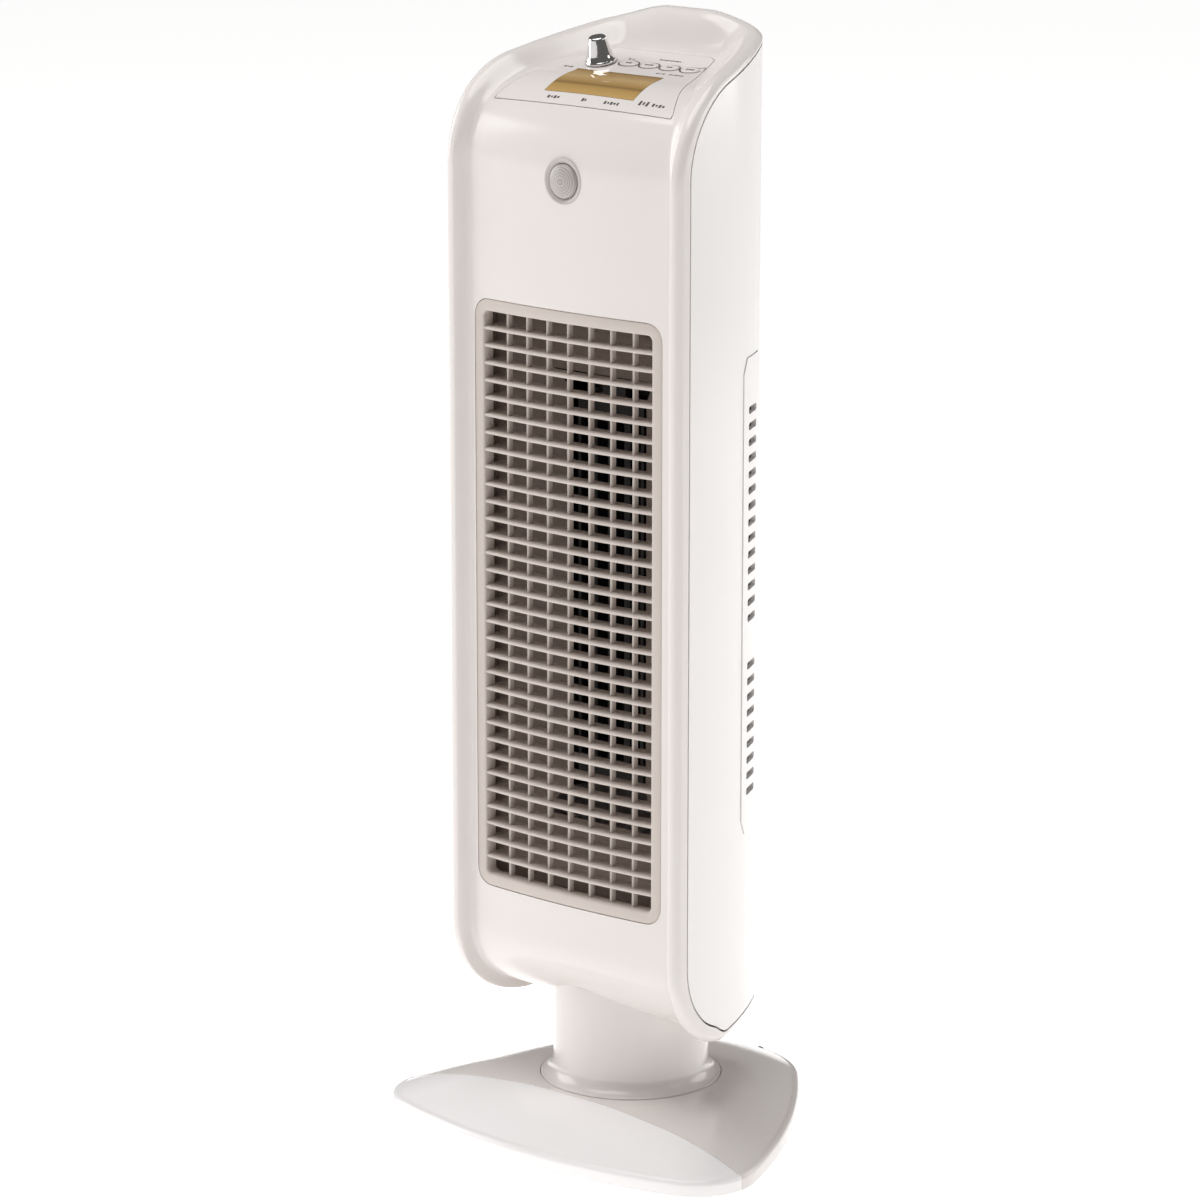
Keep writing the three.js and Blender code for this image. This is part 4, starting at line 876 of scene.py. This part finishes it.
# ---- Intake covers --------------------------------------------------------------------------
# A slotted white ABS cover clips into each side of the rear shell and stands a little proud of
# it. Twenty-three level slots with round ends let the air in, in two groups, through a woven net
# that is glued behind them.
vent_proud = 0.0006
net_margin = 0.0025
net_depth = 0.0006
net_thickness = 0.0006
thread_spacing = 0.0012
slot_height = 0.0046
slot_pitch = 0.010
slot_radius = slot_height * 0.4
slot_rows = [0.335 + slot_pitch * i for i in range(14)] + [0.225 + slot_pitch * i for i in range(9)]
slot_y0 = mix(vent_front, vent_back, 0.30)
slot_y1 = mix(vent_front, vent_back, 0.85)


def vent_cover(name, side):
    """A skin on the side's curve; the slots' faces go, and the rest gets its wall and edges."""
    ys = [vent_front, vent_front + vent_corner / 2, vent_front + vent_corner,
          slot_y0, slot_y0 + slot_radius, slot_y1 - slot_radius, slot_y1,
          vent_back - 0.002, vent_back]
    zs = {vent_low.z, vent_high.z, vent_low.z + vent_corner_height, vent_high.z - vent_corner_height}
    for z in slot_rows:
        zs |= {z - slot_height / 2, z + slot_height / 2}
    zs = sorted(zs)
    mesh = bmesh.new()
    bmesh.ops.create_grid(mesh, x_segments=len(ys) - 1, y_segments=len(zs) - 1, size=1.0)
    for vert in mesh.verts:
        y = ys[round((vert.co.x + 1) / 2 * (len(ys) - 1))]
        z = zs[round((vert.co.y + 1) / 2 * (len(zs) - 1))]
        vert.co = Vector((0, y, z))
    slots = [f for f in mesh.faces if slot_y0 < f.calc_center_median().y < slot_y1
             and any(abs(f.calc_center_median().z - z) < slot_height / 2 for z in slot_rows)]
    bmesh.ops.delete(mesh, geom=slots, context="FACES")
    corners = [v for v in mesh.verts if v.is_boundary and len(v.link_faces) == 3]
    bmesh.ops.bevel(mesh, geom=corners, offset=slot_radius, offset_type="OFFSET", segments=4,
                    profile=0.5, affect="VERTICES", material=-1)
    for vert in mesh.verts:
        low, high = vert.co.z - vent_low.z, vent_high.z - vert.co.z
        if vert.co.y < vent_front + vent_corner and min(low, high) < vent_corner_height:
            slack = (1 - min(low, high) / vent_corner_height) * vent_corner
            vert.co.y = max(vert.co.y, vent_front + slack)
    bmesh.ops.remove_doubles(mesh, verts=mesh.verts, dist=1e-5)
    for vert in mesh.verts:
        vert.co = side_point(vert.co.y, vert.co.z, side, vent_proud)
    outward(mesh)
    if sum(f.normal.x * side * f.calc_area() for f in mesh.faces) < 0:
        bmesh.ops.reverse_faces(mesh, faces=mesh.faces)
    thicken(mesh, wall + vent_proud)
    move(mesh, axis)
    piece(name, mesh, polished_white_abs, "tower", "white_abs", name)


def dust_net(name, side):
    """The net behind the slots, on the same curve as the cover."""
    net = bmesh.new()
    bmesh.ops.create_grid(net, x_segments=6, y_segments=60, size=1.0)
    for vert in net.verts:
        y = mix(vent_front + net_margin, vent_back - net_margin, (vert.co.x + 1) / 2)
        z = mix(vent_low.z + net_margin, vent_high.z - net_margin, (vert.co.y + 1) / 2)
        vert.co = side_point(y, z, side, -wall - net_depth)
    bmesh.ops.recalc_face_normals(net, faces=net.faces)
    if sum(f.normal.x * side * f.calc_area() for f in net.faces) < 0:
        bmesh.ops.reverse_faces(net, faces=net.faces)
    thicken(net, net_thickness)
    move(net, axis)
    piece(name, net, net_cloth, "tower", "dark_plastic")


# Black nylon threads woven square: matt, a little lighter where they cross over each other.
net_cloth, tree, shader, place = new_finish("woven_nylon_dust_net")
threads = [add(tree, "ShaderNodeTexWave", {
    "Vector": place, "Scale": math.tau / 20 / thread_spacing}, wave_type="BANDS",
    bands_direction=way) for way in ("Y", "Z")]
weave = add(tree, "ShaderNodeMath", {0: threads[0].outputs["Fac"], 1: threads[1].outputs["Fac"]},
            operation="MAXIMUM")
thread_colour = add(tree, "ShaderNodeMix", {
    "Factor": weave.outputs["Value"], 6: linear("#141312"), 7: linear("#3A3735")}, data_type="RGBA")
tree.links.new(thread_colour.outputs[2], shader.inputs["Base Color"])
shader.inputs["Roughness"].default_value = 0.8
vent_cover("vent_cover_right", 1)
vent_cover("vent_cover_left", -1)
dust_net("dust_net_right", 1)
dust_net("dust_net_left", -1)

# ---- Outlet grille --------------------------------------------------------------------------
# One grey moulding in satin polypropylene: a bordered frame that follows the bulge of the panel,
# thirty-two thin level louvres and seven upright fins that cross them a little further back.
grille_border = 0.0075
louvre_count = 32
louvre_thickness = 0.0020
louvre_depth = 0.0125
louvre_recess = 0.0008
fin_count = 7
fin_thickness = 0.0018
fin_recess = 0.0045
fin_depth = 0.0040
inner_corner = 0.0035
bar_tuck = 0.004
bar_round = 0.42
louvre_cuts = 10
bow_points = 24
long_side = 0.02
crown_radius = (half_width - rim_wall_front) ** 2 / (2 * panel_crown)
panel_y = front_y + panel_depth - panel_crown
inner_half = grille_half - grille_border
inner_low, inner_high = grille_low.z + grille_border, grille_high.z - grille_border

# Polypropylene from a lightly grained mould: a satin sheen with a grain of about 1.2 mm.
satin_grey = moulded_plastic("satin_grey_polypropylene", "#CDC3BC", "#C6BCB4", 0.38, 0.0012, 0.00004)


def crown(x):
    """How far the panel's bulge falls back at a distance from its middle."""
    return x * x / (2 * crown_radius)


def frame_ring(inset, depth):
    """The frame's outline, set in, bent to the panel and set back."""
    radius = mix(grille_corner, inner_corner, inset / grille_border)
    x, z0, z1 = grille_half - inset, grille_low.z + inset, grille_high.z - inset
    corners = rounded(-x, x, z0, z1, radius, 10)
    ring = []
    for a, b in zip(corners, corners[1:] + corners[:1]):
        ring.append(a)
        if abs(a.y - b.y) < 1e-6 and abs(a.x - b.x) > long_side:
            ring += [a.lerp(b, i / bow_points) for i in range(1, bow_points)]
    return [Vector((p.x, panel_y + crown(p.x) + depth, p.y)) for p in ring]


# Inset from the frame's outline and depth behind its face: a soft outer edge, then an inner one.
frame_profile = [(0, 0.009), (0, 0.0008), (0.00012, 0.0004), (0.0004, 0.00012), (0.0008, 0),
                 (0.0062, 0), (0.0067, 0.0001), (0.0072, 0.0005), (0.0075, 0.0012), (0.0075, 0.009)]
grille = bmesh.new()
loops = []
for inset, depth in frame_profile:
    ring = [grille.verts.new(p) for p in frame_ring(inset, depth)]
    loops.append([grille.edges.new((a, b)) for a, b in zip(ring, ring[1:] + ring[:1])])
for one, other in zip(loops, loops[1:] + loops[:1]):
    bmesh.ops.bridge_loops(grille, edges=one + other)
outward(grille)


def bar(mesh, size, centre, cuts, along_x):
    """A thin bar with its front edges rounded, bent to the panel if it lies across."""
    made = bmesh.new()
    bmesh.ops.create_cube(made, size=1.0)
    bmesh.ops.scale(made, vec=size, verts=made.verts)
    front = [e for e in made.edges if all(v.co.y < 0 for v in e.verts)
             and abs(e.verts[0].co.x - e.verts[1].co.x if along_x
                     else e.verts[0].co.z - e.verts[1].co.z) > 0.01]
    soften(made, front, min(size.x, size.z) * bar_round, 3)
    if cuts:
        for i in range(1, cuts):
            x = size.x * (i / cuts - 0.5)
            bmesh.ops.bisect_plane(made, geom=made.verts[:] + made.edges[:] + made.faces[:],
                                   dist=1e-7, plane_co=(x, 0, 0), plane_no=(1, 0, 0))
        for vert in made.verts:
            vert.co.y += crown(vert.co.x)
    bmesh.ops.translate(made, vec=centre, verts=made.verts)
    spare = bpy.data.meshes.new("bar")
    made.to_mesh(spare)
    made.free()
    mesh.from_mesh(spare)
    bpy.data.meshes.remove(spare)


louvre_pitch = (inner_high - inner_low) / (louvre_count + 1)
for i in range(louvre_count):
    bar(grille, Vector((2 * inner_half + bar_tuck, louvre_depth, louvre_thickness)),
        Vector((0, panel_y + louvre_recess + louvre_depth / 2, inner_low + louvre_pitch * (i + 1))),
        louvre_cuts, True)
fin_pitch = 2 * inner_half / (fin_count + 1)
for i in range(fin_count):
    x = -inner_half + fin_pitch * (i + 1)
    bar(grille, Vector((fin_thickness, fin_depth, inner_high - inner_low + bar_tuck)),
        Vector((x, panel_y + crown(x) + fin_recess + fin_depth / 2, (inner_low + inner_high) / 2)),
        0, False)
move(grille, axis)
piece("outlet_grille", grille, satin_grey, "tower", "grille_grey", "outlet_grille", sharp=50)

# ---- Presence sensor ------------------------------------------------------------------------
# A dished grey ring is pressed into the panel, and a frosted polyethylene lens domes out of it.
sensor_centre_y = panel_y
lens_rise = 0.0030
lens_seat = 0.0006
ring_inner = sensor_lens_radius + 0.0002
ring_back = 0.0060
rib_spacing = 0.001428
ring_profile = [
    (ring_inner, -ring_back), (ring_inner, -0.0014),
    (0.0112, -0.0007), (0.0121, -0.0002), (0.0130, 0.0002), (0.0136, 0.0003), (0.0140, 0.0002),
    (0.0142, -0.0001), (0.0142, -0.0010), (0.0132, -ring_back), (ring_inner, -ring_back)]


def facing_front(mesh):
    """Turns a piece that was spun on the vertical axis to face the front of the sensor's place."""
    turn = Matrix.Rotation(math.pi / 2, 4, "X")
    bmesh.ops.transform(mesh, matrix=turn, verts=mesh.verts)
    move(mesh, Vector((0, sensor_centre_y, sensor_z)))
    move(mesh, axis)


# Grey ABS, less polished than the panel, so that it does not glare beside the lens.
satin_ring = moulded_plastic("satin_grey_abs", "#C4BDB9", "#BCB4AF", 0.30, 0.0010, 0.00003)
ring_mesh = spun(ring_profile, 72)
facing_front(ring_mesh)
piece("sensor_bezel", ring_mesh, satin_ring, "tower", "grille_grey", "sensor_bezel", sharp=35)

lens_profile = [(0, -ring_back), (sensor_lens_radius, -ring_back), (sensor_lens_radius, -lens_seat)]
lens_profile += [(sensor_lens_radius * math.cos(t), -lens_seat + lens_rise * math.sin(t))
                 for t in steps(0, math.pi / 2, 12)]
lens_mesh = spun(lens_profile, 72)
facing_front(lens_mesh)
# Milky polyethylene that lets some light in, moulded with fine rings 1.4 mm apart.
frosted, tree, shader, place = new_finish("frosted_polyethylene_lens")
centred = add(tree, "ShaderNodeMapping", {
    "Vector": place, "Location": (0, -axis.y - sensor_centre_y, -sensor_z)})
rings = add(tree, "ShaderNodeTexWave", {
    "Vector": centred.outputs["Vector"], "Scale": math.tau / 20 / rib_spacing, "Distortion": 0.0},
    wave_type="RINGS", rings_direction="SPHERICAL")
milk = add(tree, "ShaderNodeMix", {
    "Factor": rings.outputs["Fac"], 6: linear("#A29B99"), 7: linear("#C2BCBA")}, data_type="RGBA")
ribs = add(tree, "ShaderNodeBump", {
    "Height": rings.outputs["Fac"], "Distance": 0.00015, "Strength": 0.7})
tree.links.new(milk.outputs[2], shader.inputs["Base Color"])
tree.links.new(ribs.outputs["Normal"], shader.inputs["Normal"])
shader.inputs["Roughness"].default_value = 0.28
shader.inputs["Subsurface Weight"].default_value = 0.25
shader.inputs["Subsurface Radius"].default_value = (0.002, 0.002, 0.002)
piece("sensor_lens", lens_mesh, frosted, "tower", "lens", "sensor_lens", sharp=35)

# ---- Control plate --------------------------------------------------------------------------
# A glossy warm white ABS plate snaps into the tray, with a fine dark gap round it. It has a window
# for the display, four oval holes for the buttons and small printed marks.
button_boxes = [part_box(f"button_{i}") for i in (1, 2, 3, 4)]
button_spots = [Vector(((low.x + high.x) / 2, (low.y + high.y) / 2 - axis.y))
                for low, high in button_boxes]
button_half_x = 0.0066
button_half_y = 0.0042
display_half = 0.0345
display_front = -0.041
display_back = -0.011
slide_gap = 0.00055
plate_thickness = 0.0013
plate_lift = 0.0001
tray_lowest = 0.6
patch_margin = 0.003
hole_reach = 0.003


def oval(spot, grow, count=48):
    """A button's outline in plan: the cap lies on the slope, so it looks a little flatter."""
    return [spot + Vector(((button_half_x + grow) * math.cos(math.tau * i / count),
                           (button_half_y + grow) * math.sin(math.tau * i / count) * math.cos(slope)))
            for i in range(count)]


def display_outline(inset):
    """The window, with straight sides that lean in towards the back."""
    lean = 0.0012
    front, rear = display_front + inset, display_back - inset
    half = display_half - inset
    right = [Vector((half, mix(front, rear, i / 8))) for i in range(9)]
    right = [Vector((p.x - lean * (p.y - front) / (rear - front), p.y)) for p in right]
    across_front = [Vector((half * t, front)) for t in (0.75, 0.5, 0.25, 0)]
    across_rear = [Vector((right[-1].x * t, rear)) for t in (0.75, 0.5, 0.25, 0)]
    half_ring = across_front[::-1] + right + across_rear
    return half_ring[:-1] + [Vector((-p.x, p.y)) for p in reversed(half_ring[1:])]


def tray_patch(outline, margin, cuts):
    """The part of the skin that lies within an outline, with a finer net."""
    patch = skin.copy()
    gone = []
    for face in patch.faces:
        centre = face.calc_center_median()
        p = flat(centre, TOP)
        close = inside(p, outline) or (nearest(p, outline) - p).length < margin
        if centre.z < tray_lowest or not close:
            gone.append(face)
    bmesh.ops.delete(patch, geom=gone, context="FACES")
    if cuts:
        bmesh.ops.subdivide_edges(patch, edges=patch.edges[:], cuts=cuts, use_grid_fill=True,
                                  smooth=0.0)
        for vert in patch.verts:
            vert.co = on_skin(flat(vert.co, TOP), TOP) or vert.co
    return patch


plate_edge = plate_outline(plate_gap)
plate = tray_patch(plate_edge, patch_margin, 2)
trim(plate, [plate_edge], TOP, keep_inside=True)
trim(plate, [display_outline(-0.0002)], TOP, keep_inside=False, reach=hole_reach)
trim(plate, [oval(spot, slide_gap) for spot in button_spots], TOP, keep_inside=False,
     reach=hole_reach)
lift = Vector((0, -math.sin(slope), math.cos(slope)))
move(plate, lift * plate_lift + axis)
thicken(plate, plate_thickness)
piece("control_plate", plate, polished_warm_abs, "tower", "warm_white_abs", "control_plate", sharp=40)

# ---- Display --------------------------------------------------------------------------------
# A liquid crystal display behind a tinted acrylic window that bends with the plate. Unlit, it is
# olive gold; the lighter and darker bands across it from front to back are painted reflections.
window_lift = 0.00015
window = tray_patch(display_outline(0), patch_margin, 1)
trim(window, [display_outline(0.0001)], TOP, keep_inside=True)
window_low = min(v.co.y for v in window.verts)
window_high = max(v.co.y for v in window.verts)
move(window, lift * window_lift + axis)
thicken(window, plate_thickness)
# Polished acrylic with a hard clear coat. Its colour is the unlit display's olive gold, in bands of
# painted reflection. The bands are the unlit display that lies below it.
glass, tree, shader, place = new_finish("tinted_acrylic_display_window_painted_reflections")
parts = add(tree, "ShaderNodeSeparateXYZ", {"Vector": place})
painted_reflection_place = add(tree, "ShaderNodeMapRange", {
    "Value": parts.outputs["Y"], "From Min": window_low + axis.y, "From Max": window_high + axis.y})
gold_with_painted_reflections = add(tree, "ShaderNodeValToRGB", {"Fac": painted_reflection_place.outputs["Result"]})
# Olive gold of the unlit display, with painted reflections: lighter and darker bands from front to
# back.
gold_and_painted_reflection_bands = [(0.0, "#C9A566"), (0.22, "#B89253"), (0.30, "#86683A"), (0.36, "#A98548"),
         (0.62, "#D3B077"), (0.85, "#BE985A"), (1.0, "#8E6F3E")]
stops = gold_with_painted_reflections.color_ramp.elements
stops[0].position, stops[0].color = gold_and_painted_reflection_bands[0][0], linear(gold_and_painted_reflection_bands[0][1])
stops[1].position, stops[1].color = gold_and_painted_reflection_bands[-1][0], linear(gold_and_painted_reflection_bands[-1][1])
for spot, colour in gold_and_painted_reflection_bands[1:-1]:
    stops.new(spot).color = linear(colour)
haze = add(tree, "ShaderNodeTexNoise", {"Vector": place, "Scale": 60.0, "Detail": 2.0})
tinted = add(tree, "ShaderNodeMix", {
    "Factor": haze.outputs["Fac"], 6: gold_with_painted_reflections.outputs["Color"], 7: linear("#A4854E")}, data_type="RGBA")
weaker = add(tree, "ShaderNodeMath", {0: haze.outputs["Fac"], 1: 0.35}, operation="MULTIPLY")
tree.links.new(weaker.outputs["Value"], tinted.inputs["Factor"])
tree.links.new(tinted.outputs[2], shader.inputs["Base Color"])
shader.inputs["Roughness"].default_value = 0.12
shader.inputs["Coat Weight"].default_value = 0.8
shader.inputs["Coat Roughness"].default_value = 0.04
shader.inputs["IOR"].default_value = 1.49
piece("display_window", window, glass, "tower", "display", "display_window", sharp=40)

# ---- Printed marks --------------------------------------------------------------------------
# Pad-printed dark grey ink on the plate: short plain dashes in place of words. Each group is
# [x, y, length, height of the dash], in millimetres from the neck axis.
ink_groups = [
    [-24, -45.0, 10, 2.6], [0, -45.0, 4, 2.8], [21, -45.0, 12, 2.6],
    [43.5, -42.0, 8, 4.2], [54.5, -42.0, 10, 2.8],
    [-42.0, -9.5, 7, 2.0], [-11, 13.0, 6, 1.8], [16, 17.0, 17, 1.8],
    [26, -5.0, 7, 1.6], [38, -5.0, 11, 1.6],
]
stroke = 0.0016
stroke_gap = 0.0005
ink_thickness = 0.00012
dash_height = plate_lift + 0.00005
ink_height = 0.00016
ring_inset = 0.0001
ring_outset = 0.0006
ink = bmesh.new()


def tray_frame(x, y):
    """Place and tilt of the tray at a plan point, as a matrix."""
    spot = on_skin(Vector((x, y)), TOP)
    ahead = on_skin(Vector((x, y + 0.001)), TOP)
    beside = on_skin(Vector((x + 0.001, y)), TOP)
    right, forward = (beside - spot).normalized(), (ahead - spot).normalized()
    up = right.cross(forward).normalized()
    turn = Matrix((right, up.cross(right), up)).transposed().to_4x4()
    return Matrix.Translation(spot + axis) @ turn


def dash(x, y, length, width, height):
    """A flat stroke of ink on the tray."""
    bmesh.ops.create_cube(ink, size=1.0, matrix=tray_frame(x, y)
                          @ Matrix.Translation((0, 0, height))
                          @ Matrix.Diagonal((length, width, ink_thickness, 1)))


for gx, gy, length, width in ink_groups:
    count = max(int(length * 0.001 / (stroke + stroke_gap)), 2)
    for i in range(count):
        share = (i + 0.5) / count - 0.5
        size = stroke * (0.75 if i % 3 == 1 else 1.0)
        tall = width * 0.001 * (0.55 if i % 2 else 0.9)
        dash(gx * 0.001 + share * length * 0.001, gy * 0.001, size, tall, dash_height)


def outline_ring(spot, inner, outer):
    """A printed line round a button."""
    place = tray_frame(spot.x, spot.y)
    loops = []
    for grow in (inner, outer):
        ring = bmesh.ops.create_circle(ink, segments=48, radius=1.0)["verts"]
        for vert in ring:
            vert.co = place @ Vector((vert.co.x * (button_half_x + grow),
                                      vert.co.y * (button_half_y + grow), plate_lift + ink_height))
        loops += [e for e in {edge for vert in ring for edge in vert.link_edges}]
    bmesh.ops.bridge_loops(ink, edges=loops)


for spot in button_spots:
    outline_ring(spot, slide_gap + ring_inset, slide_gap + ring_outset)
# Matt dark grey ink, raised 0.1 mm.
ink_black = moulded_plastic("pad_printing_ink", "#4A4442", "#3C3735", 0.5, 0.0008, 0.00001)
piece("printed_marks", ink, ink_black, "tower", "dark_plastic")

# ---- Push buttons ---------------------------------------------------------------------------
# Four oval caps in the plate's glossy ABS, each with a soft edge and a small printed sign. Each
# slides in its hole on two ribs and is pushed back by a spring.
cap_height = 0.0047
cap_below = 0.0040
cap_edge = 0.0006
sign_height = 0.00072
sign_pitch = 0.0022
sign_size = Vector((0.0015, 0.0018, ink_thickness))
for i, (spot, body) in enumerate(zip(button_spots, ("button_a", "button_b", "button_c", "button_d"))):
    cap = bmesh.new()
    bmesh.ops.create_circle(cap, cap_ends=True, segments=48, radius=1.0)
    bmesh.ops.scale(cap, vec=(button_half_x, button_half_y, 1), verts=cap.verts)
    top = cap.faces[:]
    wall_part = bmesh.ops.extrude_face_region(cap, geom=top)
    lifted = [v for v in wall_part["geom"] if isinstance(v, bmesh.types.BMVert)]
    bmesh.ops.translate(cap, vec=(0, 0, cap_height), verts=lifted)
    bmesh.ops.recalc_face_normals(cap, faces=cap.faces)
    crown_edge = [e for e in cap.edges if all(v.co.z > cap_below for v in e.verts)]
    soften(cap, crown_edge, cap_edge, 4)
    move(cap, Vector((0, 0, -cap_below)))
    bmesh.ops.transform(cap, matrix=tray_frame(spot.x, spot.y), verts=cap.verts)
    piece(f"button_{i + 1}", cap, polished_warm_abs, body, "warm_white_abs", f"button_{i + 1}")
    sign = bmesh.new()
    flat_on_cap = tray_frame(spot.x, spot.y) @ Matrix.Translation((0, 0, sign_height))
    for k in range(2 + i % 2):
        bmesh.ops.create_cube(sign, size=1.0, matrix=flat_on_cap
                              @ Matrix.Translation(((k - 0.5 - 0.5 * (i % 2)) * sign_pitch, 0, 0))
                              @ Matrix.Diagonal((*sign_size, 1)))
    piece(f"button_{i + 1}_sign", sign, ink_black, body, "dark_plastic")

# ---- Knob -----------------------------------------------------------------------------------
# A tall cone of chrome-plated ABS, pushed onto the shaft of the control behind it, with a fine
# waist above its foot.
knob_low, knob_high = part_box("knob_shaft")
knob_x = (knob_low.x + knob_high.x) / 2
knob_y = 0.002
knob_height = 0.017
knob_base = 0.0098
knob_top = 0.0052
waist = knob_base - 0.0009
waist_height = 0.0031
taper = 0.96
knob_profile = [(0, 0.0008), (knob_base - 0.0006, 0.0008), (knob_base - 0.0002, 0.0010),
                (knob_base, 0.0016), (knob_base - 0.0001, 0.0023), (knob_base - 0.0005, 0.0028),
                (waist, waist_height)]
knob_profile += [(mix(waist, knob_top + 0.0003, t ** taper),
                  mix(waist_height, knob_height - 0.0013, t)) for t in (0.25, 0.5, 0.75, 1)]
knob_profile += [(knob_top + 0.0001, knob_height - 0.0006), (knob_top - 0.0004, knob_height - 0.0001),
                 (knob_top - 0.0010, knob_height), (0, knob_height - 0.0002)]
knob_mesh = spun(knob_profile, 96)
knob_place = tray_frame(knob_x, knob_y)
tilt = Matrix.Rotation(slope, 4, "X")
tilt.translation = knob_place.translation
bmesh.ops.transform(knob_mesh, matrix=tilt, verts=knob_mesh.verts)
# Bright chrome plate over ABS: a mirror, with faint wiping marks about 1 mm long.
chrome, tree, shader, place = new_finish("chrome_plated_abs")
wipe = add(tree, "ShaderNodeTexNoise", {"Vector": place, "Scale": 900.0, "Detail": 4.0})
polish = add(tree, "ShaderNodeMapRange", {
    "Value": wipe.outputs["Fac"], "To Min": 0.03, "To Max": 0.09})
plated = add(tree, "ShaderNodeMix", {
    "Factor": wipe.outputs["Fac"], 6: linear("#E4E2E1"), 7: linear("#D6D3D1")}, data_type="RGBA")
tree.links.new(plated.outputs[2], shader.inputs["Base Color"])
tree.links.new(polish.outputs["Result"], shader.inputs["Roughness"])
shader.inputs["Metallic"].default_value = 1.0
piece("knob", knob_mesh, chrome, "knob", "chrome", "knob", sharp=50)

# ---- Working parts inside -------------------------------------------------------------------
# What shows between the louvres and through the intake slots: the duct, the ceramic heater, the
# fan with its motor and housing, and below them the swing drive. Their shapes are the frame's own.
# Glass-filled nylon and acetal come matt or satin from the mould, the heater's fins are sooty with
# oxide, the board has a green varnish, and rubber hardly shines at all.
heat_brown = moulded_plastic("glass_filled_nylon_duct", "#A3938A", "#8E7F76", 0.62, 0.0012, 0.00006)
dark_nylon = moulded_plastic("dark_glass_filled_nylon", "#2B2927", "#201E1D", 0.55, 0.0010, 0.00005)
white_nylon = moulded_plastic("natural_acetal", "#E4E0D4", "#D8D3C5", 0.42, 0.0012, 0.00003)
heater_oxide = moulded_plastic("oxidised_heater_fins", "#1D1A18", "#131110", 0.6, 0.0015, 0.00010)
board_green = moulded_plastic("solder_masked_board", "#2C6843", "#245A39", 0.4, 0.0020, 0.00003)
pad_rubber = moulded_plastic("moulded_rubber", "#2A2A29", "#1F1F1E", 0.85, 0.0009, 0.00008)


def metal(name, colour, shade, roughness, grain):
    """Bare metal, with the fine marks of rolling or casting in its gloss."""
    material = moulded_plastic(name, colour, shade, roughness, grain, 0.00004)
    inputs = material.node_tree.nodes["Principled BSDF"].inputs
    inputs["Metallic"].default_value = 1.0
    inputs["IOR"].default_value = 1.5
    return material


# Zinc plate gives the steel a soft grey gleam; the cast weight is dull and rough.
plated_steel = metal("zinc_plated_steel", "#A9A8A4", "#93928E", 0.34, 0.0016)
cast_iron = metal("cast_iron", "#4B4A4A", "#3A3939", 0.62, 0.0020)

finishes = {
    "outlet_duct": heat_brown, "ceramic_heater": heater_oxide, "thermal_cutout": dark_nylon,
    "fan_rotor": dark_nylon, "fan_housing": dark_nylon, "fan_motor": plated_steel,
    "fan_bearing": white_nylon, "control_board": board_green, "knob_shaft": plated_steel,
    "swing_gear": white_nylon, "swing_pinion": white_nylon, "swing_motor": plated_steel,
    "bearing_ring": white_nylon, "base_weight": cast_iron, "base_plate": dark_nylon,
    "cord_gland": dark_nylon, "tip_switch": dark_nylon, "tip_plunger": pad_rubber,
}
finishes.update({f"foot_{i}": pad_rubber for i in range(1, 7)})
finishes.update({f"base_screw_{i}": plated_steel for i in range(1, 5)})
for name, finish in finishes.items():
    nodes[name].data.materials.clear()
    nodes[name].data.materials.append(finish)

skin.free()
bpy.context.view_layer.update()
